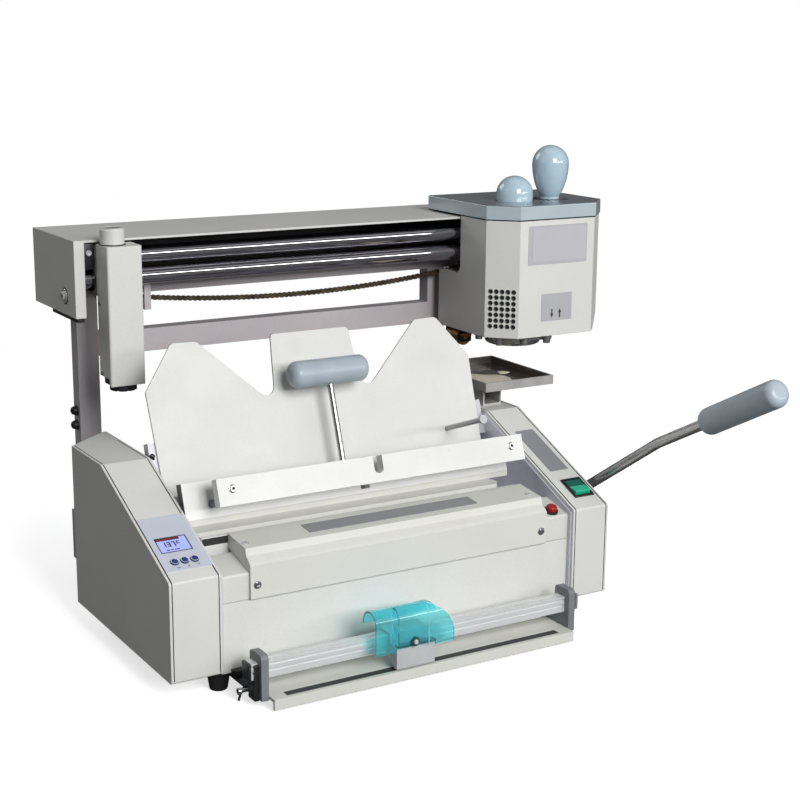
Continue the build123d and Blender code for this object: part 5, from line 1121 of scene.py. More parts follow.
@dataclass(frozen=True)
class CoverFittings:
    """The stepped cover's screws and the bare strip along its top."""

    strip: Label = Label(205.0, 21.0, 1.2, MIDDLE_X, 20.5, 0.5)
    turns_and_places: tuple[tuple[float, float], ...] = ((20, 95.5), (65, 439.5))
    front_screw: Screw = Screw(3.1, 1.7, Drive.CROSS, washer=4.2)
    front_along: float = 14.3
    top_screw: Screw = Screw(3.2, 1.2, Drive.SLOT, domed=False)
    top_along: float = 11.3
    top_turn: float = 30.0
    top_shift: float = -2.2
    slot_length: float = 12.0
    slot_width: float = 8.4
    slot_corner: float = 4.1
    slot_height: float = 0.12
    slot_shift: float = -1.0

    def slot(self, x: float) -> Mesh:
        """Makes the dark slot that a top screw sits in, as a plate in painted shade for its recess.

        Args:
            x: how far right its screw's place is.

        Returns:
            The slot, on the cover's top.
        """
        outline = oblong(self.slot_length, self.slot_width, self.slot_corner)
        return COVER_TOP.lay(cut_shape(outline, self.slot_height), x + self.slot_shift, self.top_along)

    def build(self) -> None:
        """Makes the strip and both pairs of screws."""
        publish(self.strip.on(COVER_TOP), "cover_name_strip", PLATE_FILM, Body.BASE)
        fronts, slots, tops = [], [], []
        for turn, x in self.turns_and_places:
            fronts.append(COVER_FRONT.lay(self.front_screw.seated(turn), x, self.front_along))
            slots.append(self.slot(x))
            tops.append(COVER_TOP.lay(self.top_screw.seated(turn + self.top_turn), x + self.top_shift,
                                      self.top_along, self.slot_height))
        publish(gathered(slots), "cover_slots", VENT_SHADE, Body.BASE)
        publish(gathered(tops), "cover_slot_screws", BRIGHT_SCREW, Body.BASE)
        publish(gathered(fronts), "cover_screws", SCREW_ZINC, Body.BASE)


@dataclass(frozen=True)
class ClampFittings:
    """The clamp bar's socket screws and the rest plate's bolt."""

    offset: float = 170.1
    rise: float = 25.6
    turns_and_sides: tuple[tuple[float, int], ...] = ((10, -1), (35, 1))
    screw: Screw = Screw(3.5, 2.0, Drive.HEX, washer=4.4, domed=False, washer_height=0.6)
    socket_radius: float = 1.55
    socket_height: float = 0.3
    socket_out: float = 1.65
    bolt_profile: Profile = ((0, 0), (1.5, 0), (1.5, 2.0), (2.7, 2.4), (2.9, 4.6), (1.9, 6.4), (0, 6.8))
    bolt_place: Point = (61.5, 182.0, 174.0)
    bolt_axis: Point = (-0.45, 0, 0.9)

    def build(self) -> None:
        """Makes the screws, which ride on the clamp bar, and the bolt."""
        heads, sockets = [], []
        for turn, side in self.turns_and_sides:
            x = MIDDLE_X + side * self.offset
            heads.append(BAR_FACE.lay(self.screw.seated(turn), x, self.rise))
            # The dark hexagon in each socket is painted shade.
            socket = disc(self.socket_radius, self.socket_height, steps=6)
            sockets.append(BAR_FACE.lay(socket, x, self.rise, self.socket_out))
        publish(gathered(heads), "clamp_bar_screws", SCREW_ZINC, Body.CLAMP)
        publish(gathered(sockets), "clamp_bar_screw_sockets", VENT_SHADE, Body.CLAMP)
        bolt = set_at(turned(self.bolt_profile, steps=24), self.bolt_place, self.bolt_axis)
        publish(bolt, "rest_plate_bolt", BLACK_ABS, Body.BASE)


@dataclass(frozen=True)
class JawStrips:
    """The dark pad along the nip jaw and the light strip that closes the rear jaw's foot."""

    thickness: float = 0.2
    edge: float = 0.05
    pad_length: float = 382.0
    pad_height: float = 7.6
    pad_place: Point = (251.0, 57.1, 114.0)
    foot_length: float = 394.0
    foot_height: float = 6.8
    foot_place: Point = (254.75, 89.5, 124.8)

    def strip(self, length: float, height: float, place: Point) -> Mesh:
        """Makes one thin strip.

        Args:
            length: its size along X.
            height: its size along Z.
            place: where the middle of its lower edge goes.

        Returns:
            The strip.
        """
        return set_at(slab((length, self.thickness, height), self.edge, segments=1), place)

    def build(self) -> None:
        """Makes both strips."""
        pad = self.strip(self.pad_length, self.pad_height, self.pad_place)
        publish(pad, "nip_jaw_pad", FOOT_RUBBER, Body.NIP)
        foot = self.strip(self.foot_length, self.foot_height, self.foot_place)
        publish(foot, "rear_jaw_foot_strip", COVER_COAT, Body.BASE)


@dataclass(frozen=True)
class PanelPrint:
    """What is laid on the control panel: the display's frame and picture, and a pale ring round each button
    that is a painted highlight.
    """

    left: float = 9.3
    width: float = 33.2
    start: float = 42.3
    length: float = 22.7
    glass_out: float = 0.8
    frame_width: float = 1.0
    frame_height: float = 0.3
    header_share: float = 0.74
    header_depth: float = 3.6
    field_height: float = 0.05
    print_height: float = 0.1
    reading: tuple[str, ...] = ("bc", "abcdg", "abc")
    reading_x: float = 5.4
    reading_along: float = 8.4
    digit_pitch: float = 5.0
    digit_width: float = 3.7
    digit_height: float = 7.2
    digit_stroke: float = 1.3
    unit_bars: tuple[tuple[float, ...], ...] = ((20.6, 11.6, 3.2, 1.0), (20.6, 11.6, 1.0, 4.0),
                                                (20.6, 14.6, 3.2, 1.0))
    line_bars: tuple[tuple[float, float], ...] = ((7.0, 3.4), (11.6, 2.4), (15.2, 5.6))
    line_along: float = 3.2
    line_depth: float = 1.3
    buttons: tuple[float, ...] = (16.9, 27.45, 38.0)
    button_along: float = 27.8
    button_height: float = 2.5
    ring_inner: float = 2.6
    ring_outer: float = 3.9
    mark_shapes: tuple[Profile, ...] = (((-2.0, 0.0), (2.0, 0.0), (2.0, 0.8), (-2.0, 0.8)),
                                        ((-1.1, 0.0), (1.1, 0.0), (0.0, 1.8)),
                                        ((0.0, 0.0), (1.1, 1.8), (-1.1, 1.8)))
    mark_height: float = 0.08
    mark_shift: float = 1.5
    mark_drop: float = 8.8
    mark_out: float = 1.0

    def bar(self, x: float, along: float, width: float, depth: float, height: float = 0.0) -> Mesh:
        """Makes a flat bar on the display.

        Args:
            x: its left edge.
            along: its lower edge, up the slope.
            width: its size along X.
            depth: its size up the slope.
            height: how far it stands out, or 0 for the print's own thickness.

        Returns:
            The bar.
        """
        mesh = cut_shape(oblong(width, depth), height or self.print_height)
        return CASING_SLOPE.lay(mesh, x + width / 2, along + depth / 2, self.glass_out)

    def digit(self, shape: str, x: float, along: float) -> list[Mesh]:
        """Makes one digit of lit segments.

        Args:
            shape: the segments that are on, from a (the top) clockwise to f, with g in the middle.
            x: its left edge.
            along: its lower edge, up the slope.

        Returns:
            Its segments.
        """
        wide, tall, stroke = self.digit_width, self.digit_height, self.digit_stroke
        half = tall / 2
        segments = {
            "a": (0, tall - stroke, wide, stroke), "b": (wide - stroke, half, stroke, half),
            "c": (wide - stroke, 0, stroke, half), "d": (0, 0, wide, stroke),
            "e": (0, 0, stroke, half), "f": (0, half, stroke, half),
            "g": (0, half - stroke / 2, wide, stroke),
        }
        lit = [segments[letter] for letter in shape]
        return [self.bar(x + left, along + low, width, depth) for left, low, width, depth in lit]

    def picture(self) -> None:
        """Makes the display's header, its field, the reading and the frame round them."""
        rim, top = self.frame_width, self.start + self.length
        inner_width, inner_length = self.width - 2 * rim, self.length - 2 * rim
        header = self.bar(self.left + rim, top - rim - self.header_depth, self.width * self.header_share,
                          self.header_depth)
        publish(header, "display_header_bar", SCREEN_RED, Body.BASE)
        field = self.bar(self.left + rim, self.start + rim, inner_width, inner_length, self.field_height)
        publish(field, "display_picture", SCREEN_FIELD, Body.BASE)
        marks = []
        for number, shape in enumerate(self.reading):
            x = self.left + self.reading_x + number * self.digit_pitch
            marks += self.digit(shape, x, self.start + self.reading_along)
        for x, along, width, depth in self.unit_bars:
            marks.append(self.bar(self.left + x, self.start + along, width, depth))
        for x, width in self.line_bars:
            marks.append(self.bar(self.left + x, self.start + self.line_along, width, self.line_depth))
        publish(gathered(marks), "display_reading", SCREEN_INK, Body.BASE)
        sides = [self.bar(x, self.start, rim, self.length, self.frame_height)
                 for x in (self.left, self.left + self.width - rim)]
        ends = [self.bar(self.left + rim, along, inner_width, rim, self.frame_height)
                for along in (top - rim, self.start)]
        publish(gathered(sides + ends), "display_frame", BLACK_ABS, Body.BASE)

    def button_rings_and_marks(self) -> None:
        """Makes the pale ring on each button, which is a painted highlight, and the small mark under it."""
        for body, x in zip((Body.BUTTON_LEFT, Body.BUTTON_MIDDLE, Body.BUTTON_RIGHT), self.buttons):
            halo = CASING_SLOPE.lay(ring(self.ring_inner, self.ring_outer, self.print_height), x,
                                    self.button_along, self.button_height)
            publish(halo, f"{body.value}_ring", BUTTON_HALO, body)
        marks = [CASING_SLOPE.lay(cut_shape(shape, self.mark_height), x + self.mark_shift,
                                  self.button_along - self.mark_drop, self.mark_out)
                 for x, shape in zip(self.buttons, self.mark_shapes)]
        publish(gathered(marks), "button_marks", MARK_INK, Body.BASE)

    def build(self) -> None:
        """Makes the display's picture, and the painted highlights and the marks round the buttons."""
        self.picture()
        self.button_rings_and_marks()


@dataclass(frozen=True)
class HeadFittings:
    """The glue head's labels, the painted shade in its vents, its cap seal and well liners, and what hangs
    under it.
    """

    large_label: Label = Label(89.0, 48.0, 1.0, 618.5, 114.0)
    label_field: Label = Label(80.0, 41.0, 0.8, 620.5, 114.5, 0.3, 0.35)
    small_label: Label = Label(46.0, 34.0, 0.8, 619.0, 36.0)
    arrow: Profile = ((-1.0, -5.6), (1.0, -5.6), (1.0, 0.4), (2.7, 0.4), (0.0, 5.6), (-2.7, 0.4), (-1.0, 0.4))
    arrow_places: tuple[tuple[float, int], ...] = ((612.0, -1), (624.0, 1))
    arrow_along: float = 28.0
    arrow_height: float = 0.12
    vent_middle: Point = (547.0, 245.0, 284.0)
    vent_pitch: float = 7.2
    vent_radius: float = 2.45
    vent_columns: int = 5
    vent_rows: int = 7
    vent_depth: float = 3.6
    shade_plug_height: float = 2.6
    shade_plug_dish: float = 0.4
    rim_radius: float = 3.05
    rim_height: float = 0.08
    seal_plan: Profile = ((531.6, 392.0), (531.6, 259.9), (561.9, 229.6), (674.1, 229.6), (704.4, 259.9),
                          (704.4, 392.0))
    seal_low: float = 392.6
    seal_width: float = 2.2
    seal_height: float = 1.3
    wells: tuple[tuple[float, float], ...] = ((593.0, 289.0), (647.0, 289.0))
    well_foot: float = 373.2
    well_floor: float = 373.1
    well_floor_height: float = 0.5
    well_floor_radius: float = 23.8
    well_shaft_radius: float = 5.5
    well_radius: float = 23.9
    well_wall: float = 0.6
    well_depth: float = 37.0
    casting_plan: Profile = ((546, 262), (566, 244), (632, 244), (640, 262), (628, 306), (560, 308))
    casting_corner: float = 7.0
    casting_height: float = 9.0
    casting_edge: float = 2.5
    casting_low: float = 239.0
    boss_profile: Profile = ((0, 0), (4.2, 0), (5.0, 4.0), (5.0, 10.0), (0, 10.0))
    bosses: tuple[Point, ...] = ((556, 262, 235.5), (584, 247, 235.5), (618, 247, 235.5))
    thick_path: tuple[Point, ...] = ((541, 302, 247.9), (541, 302, 238.5), (541, 324.5, 238.5))
    thick_bend: float = 5.0
    thick_radius: float = 2.6
    thin_path: tuple[Point, ...] = ((551, 296, 247.9), (551, 296, 240), (566, 299, 240))
    thin_bend: float = 4.0
    thin_radius: float = 2.0
    gland: Screw = Screw(4.6, 5.0, Drive.HEX, washer=6.2, domed=False)
    glands: tuple[Point, ...] = ((539.0, 282.0, 247.8), (600.0, 345.0, 247.8))

    def labels(self) -> None:
        """Makes the two bare labels on the front, and the arrows on the small one."""
        publish(self.large_label.on(HEAD_FRONT), "head_label_large", LABEL_FILM, Body.HEAD)
        publish(self.label_field.on(HEAD_FRONT), "head_label_field", LABEL_CORE, Body.HEAD)
        publish(self.small_label.on(HEAD_FRONT), "head_label_small", STICKER_FILM, Body.HEAD)
        arrows = []
        for x, way in self.arrow_places:
            shape = cut_shape([(px * way, py * way) for px, py in self.arrow], self.arrow_height)
            arrows.append(HEAD_FRONT.lay(shape, x, self.arrow_along, self.small_label.thickness))
        publish(gathered(arrows), "head_label_arrows", MARK_INK, Body.HEAD)

    def vents(self) -> None:
        """Makes painted shade inside each vent hole and in a dark ring round it, on the chamfered face."""
        inner_parts, rims = [], []
        across = Vector((1, -1, 0)).normalized()
        out = Vector((-1, -1, 0)).normalized()
        shade_plug = ((0, 0), (self.vent_radius, 0), (self.vent_radius, self.shade_plug_height),
                 (0, self.shade_plug_height - self.shade_plug_dish))
        for column in range(self.vent_columns):
            for row in range(self.vent_rows):
                place = Vector(self.vent_middle)
                place += across * (column - (self.vent_columns - 1) / 2) * self.vent_pitch
                place.z += (row - (self.vent_rows - 1) / 2) * self.vent_pitch
                inner_parts.append(set_at(turned(shade_plug, steps=24), place - out * self.vent_depth, out))
                rim = ring(self.vent_radius, self.rim_radius, self.rim_height, steps=24)
                rims.append(set_at(rim, place, out))
        publish(gathered(inner_parts), "head_vent_shade_insides", VENT_SHADE, Body.HEAD)
        publish(gathered(rims), "head_vent_shade_rims", VENT_SHADE, Body.HEAD)

    def seal(self) -> None:
        """Makes the dark seal under the cap as an open frame, which leaves the knobs' way free."""
        mesh = bmesh.new()
        face = mesh.faces.new([mesh.verts.new((x, y, self.seal_low)) for x, y in self.seal_plan])
        bmesh.ops.inset_region(mesh, faces=[face], thickness=self.seal_width, use_boundary=True,
                               use_even_offset=True)
        bmesh.ops.delete(mesh, geom=[face], context="FACES")
        thicken(mesh, mesh.faces[:], (0, 0, self.seal_height))
        publish(mesh, "head_cap_seal", VENT_SHADE, Body.HEAD)

    def well_liners(self) -> None:
        """Makes the wall and the floor of both knob wells."""
        inner_parts = []
        for x, y in self.wells:
            wall = ring(self.well_radius - self.well_wall, self.well_radius, self.well_depth)
            inner_parts.append(set_at(wall, (x, y, self.well_foot)))
            floor = ring(self.well_shaft_radius, self.well_floor_radius, self.well_floor_height)
            inner_parts.append(set_at(floor, (x, y, self.well_floor)))
        publish(gathered(inner_parts), "knob_well_liners", GREY_ABS, Body.HEAD)

    def underside(self) -> None:
        """Makes the cast heater rim with its bosses, the copper tubes and the glands under the head."""
        casting = hung_block(rounded(self.casting_plan, self.casting_corner), self.casting_height,
                             self.casting_edge, self.casting_low)
        publish(casting, "heater_casting", CAST_ALUMINIUM, Body.HEAD)
        bosses = [set_at(turned(self.boss_profile, steps=20), place) for place in self.bosses]
        publish(gathered(bosses), "heater_casting_bosses", CAST_ALUMINIUM, Body.HEAD)
        tubes = [rod_along(bent(self.thick_path, self.thick_bend), self.thick_radius),
                 rod_along(bent(self.thin_path, self.thin_bend), self.thin_radius)]
        publish(gathered(tubes), "heater_tubes", COPPER_TUBE, Body.HEAD)
        glands = [set_at(self.gland.seated(), place, DOWN) for place in self.glands]
        publish(gathered(glands), "head_glands", SCREW_ZINC, Body.HEAD)

    def build(self) -> None:
        """Makes all the head's fittings."""
        self.labels()
        self.vents()
        self.seal()
        self.well_liners()
        self.underside()


@dataclass(frozen=True)
class MillFittings:
    """The milling unit's cap rim, disc and skirt, the brush beside its cutter and its side screws."""

    cap_place: tuple[float, float] = (69.0, 303.0)
    cap_top: float = 405.0
    rim_inner: float = 9.6
    rim_outer: float = 12.0
    rim_height: float = 0.8
    disc_radius: float = 9.7
    disc_height: float = 0.3
    skirt_inner: float = 13.3
    skirt_outer: float = 14.4
    skirt_height: float = 1.2
    skirt_low: float = 387.0
    brush_plan: Profile = ((56.0, 289.0), (67.0, 289.0), (67.0, 314.0), (56.0, 314.0))
    brush_corner: float = 3.0
    brush_height: float = 8.6
    brush_edge: float = 2.0
    brush_low: float = 231.8
    screw: Screw = Screw(2.6, 1.3, Drive.CROSS)
    screw_x: float = 55.0
    screw_y: float = 309.0
    turns_and_heights: tuple[tuple[float, float], ...] = ((15, 244.5), (50, 322.0))

    def cap(self) -> None:
        """Makes the rim and the disc on the round cap, and the dark skirt under it."""
        rim = set_at(ring(self.rim_inner, self.rim_outer, self.rim_height), (*self.cap_place, self.cap_top))
        publish(rim, "mill_cap_rim", CASING_COAT, Body.MILL)
        eye = set_at(disc(self.disc_radius, self.disc_height, steps=36), (*self.cap_place, self.cap_top))
        publish(eye, "mill_cap_disc", GREY_ABS, Body.MILL)
        skirt = ring(self.skirt_inner, self.skirt_outer, self.skirt_height)
        publish(set_at(skirt, (*self.cap_place, self.skirt_low)), "mill_cap_skirt", BLACK_ABS, Body.MILL)

    def build(self) -> None:
        """Makes the fittings that travel with the milling unit."""
        self.cap()
        brush = hung_block(rounded(self.brush_plan, self.brush_corner), self.brush_height, self.brush_edge,
                           self.brush_low)
        publish(brush, "mill_edge_brush", FOOT_RUBBER, Body.MILL)
        heads = [set_at(self.screw.seated(turn), (self.screw_x, self.screw_y, z), LEFT)
                 for turn, z in self.turns_and_heights]
        publish(gathered(heads), "mill_side_screws", SCREW_ZINC, Body.MILL)


@dataclass(frozen=True)
class BeamFittings:
    """The socket screw in the beam's left cheek, and what clamps and wipes the rods at that end."""

    cheek_screw: Screw = Screw(4.8, 3.0, Drive.HEX, washer=8.0, domed=False)
    cheek_turn: float = 12.0
    cheek_place: Point = (30.5, 353.0, 326.0)
    socket_radius: float = 2.1
    socket_height: float = 0.3
    socket_out: float = 2.7
    shade_inner: float = 8.2
    shade_outer: float = 9.4
    shade_height: float = 0.2
    block_size: Point = (13.0, 26.0, 29.0)
    block_edge: float = 1.2
    block_place: Point = (47.9, 333.0, 358.5)
    clamp_screw: Screw = Screw(3.2, 2.4, Drive.HEX, domed=False)
    clamp_turn: float = 20.0
    clamp_place: Point = (47.5, 320.0, 377.0)
    wiper_inner: float = 10.2
    wiper_outer: float = 14.0
    wiper_height: float = 1.2
    wiper_place: Point = (53.4, 333.0, 346.0)

    def cheek(self) -> None:
        """Makes the screw in the cheek, with painted shade in its socket and round its washer."""
        screw = set_at(self.cheek_screw.seated(self.cheek_turn), self.cheek_place, LEFT)
        publish(screw, "beam_cheek_screw", BRIGHT_SCREW, Body.BASE)
        x, y, z = self.cheek_place
        socket = disc(self.socket_radius, self.socket_height, steps=6)
        publish(set_at(socket, (x - self.socket_out, y, z), LEFT), "beam_cheek_screw_socket", VENT_SHADE,
                Body.BASE)
        shade = set_at(ring(self.shade_inner, self.shade_outer, self.shade_height), self.cheek_place, LEFT)
        publish(shade, "beam_cheek_screw_shade", VENT_SHADE, Body.BASE)

    def build(self) -> None:
        """Makes the beam's fasteners and what holds the rods at its left end."""
        self.cheek()
        block = set_at(slab(self.block_size, self.block_edge), self.block_place)
        publish(block, "rod_clamp_block", DARK_STEEL, Body.BASE)
        screw = set_at(self.clamp_screw.seated(self.clamp_turn), self.clamp_place, FRONT)
        publish(screw, "rod_clamp_screw", BRIGHT_SCREW, Body.BASE)
        wiper = set_at(ring(self.wiper_inner, self.wiper_outer, self.wiper_height), self.wiper_place, RIGHT)
        publish(wiper, "rod_wiper", BLACK_ABS, Body.BASE)


@dataclass(frozen=True)
class PostFittings:
    """The domed nuts on the left post, its small gusset and the screws that hold the lower rail."""

    nut_profile: Profile = ((0, 0), (6.2, 0), (6.2, 1.2), (5.2, 1.6), (5.2, 4.0), (4.2, 6.2), (2.2, 7.4),
                            (0, 7.8))
    nuts: tuple[Point, ...] = ((53.6, 395.0, 183.0), (53.6, 395.0, 166.0))
    gusset_size: Point = (4.4, 5.0, 9.0)
    gusset_edge: float = 0.4
    gusset_place: Point = (80.8, 388.0, 254.0)
    screw: Screw = Screw(3.4, 1.8, Drive.HEX, washer=4.8)
    screw_turn: float = 20.0
    screw_columns: tuple[float, ...] = (66.3, 539.5)
    screw_rows: tuple[float, ...] = (254.0, 267.0, 324.0)
    rear: float = 405.0

    def build(self) -> None:
        """Makes the nuts, the gusset and the rail's screws."""
        nuts = [set_at(turned(self.nut_profile, steps=28), place, LEFT) for place in self.nuts]
        publish(gathered(nuts), "post_nuts", DARK_STEEL, Body.BASE)
        gusset = set_at(slab(self.gusset_size, self.gusset_edge), self.gusset_place)
        publish(gusset, "post_gusset", FRAME_ENAMEL, Body.BASE)
        heads = [set_at(self.screw.seated(self.screw_turn), (x, self.rear, z), REAR)
                 for x in self.screw_columns for z in self.screw_rows]
        publish(gathered(heads), "post_rear_screws", SCREW_ZINC, Body.BASE)


@dataclass(frozen=True)
class CreaserFittings:
    """The creaser's end bracket, rail caps, clamp screw and paper wire, and what its hood carries."""

    bracket_outline: Profile = ((-20.0, 2.0), (-20.0, -21.5), (-42.5, -21.5), (-42.5, 22.5), (-31.0, 22.5),
                                (-31.0, 2.0))
    bracket_corner: float = 4.5
    bracket_left: float = 70.5
    bracket_width: float = 4.4
    cap_size: Point = (4.0, 15.0, 18.0)
    cap_edge: float = 1.4
    caps: tuple[Point, ...] = ((66.3, -29.0, 3.0), (457.3, -29.0, 3.0))
    clamp_screw: Screw = Screw(3.4, 3.6, Drive.HEX, domed=False)
    clamp_place: Point = (66.5, -15.0, -14.5)
    shank_radius: float = 2.1
    shank_length: float = 9.0
    wire_path: tuple[Point, ...] = ((74.0, -12.0, -11.5), (67.5, -12.0, -11.5), (65.3, -12.0, -14.0),
                                    (65.3, -12.0, -25.5))
    wire_bend: float = 4.0
    wire_radius: float = 1.3
    gland_profile: Profile = ((0, 0), (7.5, 0), (7.5, 2.0), (6.4, 2.6), (6.4, 6.0), (4.0, 9.0), (0, 9.0))
    gland_place: Point = (74.0, 6.0, 0.0)
    boss_profile: Profile = ((0, 0), (5.2, 0), (5.2, 1.6), (4.4, 2.4), (0, 2.6))
    boss_place: Point = (240.6, -57.0, 17.5)
    hood_screw: Screw = Screw(2.6, 1.4, Drive.CROSS)
    hood_screw_turn: float = 25.0
    hood_screw_place: Point = (240.6, -59.4, 17.5)
    seam_front: float = -57.15
    seam_low: float = 9.8
    seam_middle: tuple[float, float] = (-43.5, 39.5)
    seam_radius: float = 13.65
    seam_angles: tuple[int, ...] = tuple(range(10, 161, 10))
    seam_depth: float = 0.7
    seam_left: float = 257.2
    seam_width: float = 0.9

    def ends(self) -> None:
        """Makes what sits at the left end of the rail."""
        outline = rounded(self.bracket_outline, self.bracket_corner)
        publish(side_shape(outline, self.bracket_left, self.bracket_width), "creaser_end_bracket", BLACK_ABS,
                Body.BASE)
        caps = [set_at(slab(self.cap_size, self.cap_edge, segments=3), place) for place in self.caps]
        publish(gathered(caps), "rail_end_caps", BLACK_ABS, Body.BASE)
        screw = [set_at(self.clamp_screw.head(), self.clamp_place, LEFT),
                 set_at(disc(self.shank_radius, self.shank_length, steps=20), self.clamp_place, RIGHT)]
        publish(gathered(screw), "creaser_clamp_screw", SCREW_ZINC, Body.BASE)
        wire = rod_along(bent(self.wire_path, self.wire_bend), self.wire_radius, sides=14)
        publish(wire, "creaser_wire_hook", FOOT_RUBBER, Body.BASE)
        gland = set_at(turned(self.gland_profile, steps=28), self.gland_place, DOWN)
        publish(gland, "body_underside_gland", BLACK_ABS, Body.BASE)

    def hood(self) -> None:
        """Makes the hood's boss and screw, and the bright seam that follows its bend."""
        boss = set_at(turned(self.boss_profile, steps=32), self.boss_place, FRONT)
        publish(boss, "hood_boss", HOOD_ACRYLIC, Body.CREASER)
        screw = set_at(self.hood_screw.seated(self.hood_screw_turn), self.hood_screw_place, FRONT)
        publish(screw, "hood_screw", BRIGHT_SCREW, Body.CREASER)
        (y, z), radius = self.seam_middle, self.seam_radius
        arc = [(y - radius * math.cos(math.radians(a)), z + radius * math.sin(math.radians(a)))
               for a in self.seam_angles]
        path = [(self.seam_front, self.seam_low), (self.seam_front, z), *arc]
        publish(band(path, self.seam_depth, self.seam_left, self.seam_width), "hood_seam", HOOD_EDGE,
                Body.CREASER)

    def build(self) -> None:
        """Makes all the creaser's fittings."""
        self.ends()
        self.hood()


@dataclass(frozen=True)
class TrayFittings:
    """The cooked film of glue on the tray's floor, and the pools that have dripped onto it."""

    film_width: float = 94.0
    film_depth: float = 129.0
    film_corner: float = 1.0
    film_height: float = 0.15
    film_place: Point = (535.5, 253.0, 200.0)
    pools: tuple[tuple[float, float, float, float], ...] = ((524, 240, 26.0, 1.35), (549, 210, 12.0, 0.9),
                                                            (506, 293, 12.0, 1.2), (563, 262, 7.0, 1.1))
    pool_profile: Profile = ((1.0, 0), (0.96, 0.35), (0.8, 0.75), (0.4, 1.05), (0, 1.15))
    pool_waves: tuple[tuple[int, float], ...] = ((3, 0.13), (5, 0.07))
    pool_turn: float = 18.0

    def pool(self, x: float, y: float, radius: float, squash: float) -> Mesh:
        """Makes one low, rounded pool with an uneven edge.

        Args:
            x: how far right its middle is.
            y: how far back its middle is.
            radius: its mean radius along X.
            squash: its size along Y for each unit along X.

        Returns:
            The pool, on the film.
        """
        pool = turned([(radius * share, height) for share, height in self.pool_profile], steps=36)
        bmesh.ops.holes_fill(pool, edges=pool.edges[:], sides=0)
        for vert in pool.verts:
            angle = math.atan2(vert.co.y, vert.co.x)
            swell = 1 + sum(depth * math.sin(count * angle + phase)
                            for (count, depth), phase in zip(self.pool_waves, (x, y)))
            vert.co.x *= swell
            vert.co.y *= swell * squash
        return set_at(pool, (x, y, self.film_place[2] + self.film_height), UP, self.pool_turn)

    def build(self) -> None:
        """Makes the film and the pools."""
        film = cut_shape(oblong(self.film_width, self.film_depth, self.film_corner), self.film_height)
        publish(set_at(film, self.film_place), "tray_floor_film", COOKED_GLUE, Body.BASE)
        pools = [self.pool(*pool) for pool in self.pools]
        publish(gathered(pools), "tray_glue_drips", MELTED_GLUE, Body.BASE, smooth=60.0)


@dataclass(frozen=True)
class RearFittings:
    """What the rear shows: louvres, cover screws and the fuse drawer beside the mains inlet."""

    louvres: int = 14
    louvre_width: float = 4.0
    louvre_height: float = 26.0
    louvre_corner: float = 1.9
    louvre_depth: float = 0.4
    louvre_start: Point = (230.0, 409.9, 30.0)
    louvre_pitch: float = 9.0
    screw: Screw = Screw(3.0, 1.6, Drive.CROSS, washer=4.2)
    turns_and_places: tuple[tuple[float, float], ...] = ((58, 58.0), (20, 180.0), (63, 303.0), (26, 426.0),
                                                         (68, 548.0))
    screw_rows: tuple[float, ...] = (9.0, 52.0)
    rear: float = 410.0
    fuse_size: Point = (12.0, 15.0, 3.5)
    fuse_edge: float = 0.8
    fuse_place: Point = (157.0, 410.0, 30.0)

    def build(self) -> None:
        """Makes the rear's louvres, screws and fuse drawer."""
        # Each louvre is a dark plate: painted shade for the inside of its opening.
        slots = []
        x, y, z = self.louvre_start
        for number in range(self.louvres):
            slot = cut_shape(oblong(self.louvre_width, self.louvre_height, self.louvre_corner),
                             self.louvre_depth)
            slots.append(set_at(slot, (x + number * self.louvre_pitch, y, z), REAR))
        publish(gathered(slots), "rear_louvres", VENT_SHADE, Body.BASE)
        heads = [set_at(self.screw.seated(turn), (place, self.rear, row), REAR)
                 for turn, place in self.turns_and_places for row in self.screw_rows]
        publish(gathered(heads), "rear_base_screws", SCREW_ZINC, Body.BASE)
        fuse = set_at(slab(self.fuse_size, self.fuse_edge), self.fuse_place, REAR)
        publish(fuse, "fuse_drawer", BLACK_ABS, Body.BASE)


FITTINGS = (CasingTrim(), CoverFittings(), ClampFittings(), JawStrips(), PanelPrint(), HeadFittings(),
            MillFittings(), BeamFittings(), PostFittings(), CreaserFittings(), TrayFittings(), RearFittings())


# ---- camera, light and floor ----
@dataclass(frozen=True)
class Lamp:
    """A large soft lamp. Its places and sizes are metres in the row frame, and its power is watts."""

    name: str
    place: Point
    aim: Point
    width: float
    height: float
    power: float

    def hang(self) -> None:
        """Hangs the lamp, facing what it aims at."""
        data = bpy.data.lights.new(self.name, "AREA")
        data.shape = "RECTANGLE"
        data.size = self.width
        data.size_y = self.height
        data.energy = self.power
        lamp = bpy.data.objects.new(self.name, data)
        facing = (Vector(self.aim) - Vector(self.place)).to_track_quat("-Z", "Y").to_matrix().to_4x4()
        lamp.matrix_world = Matrix.Translation(self.place) @ facing
        bpy.context.scene.collection.objects.link(lamp)


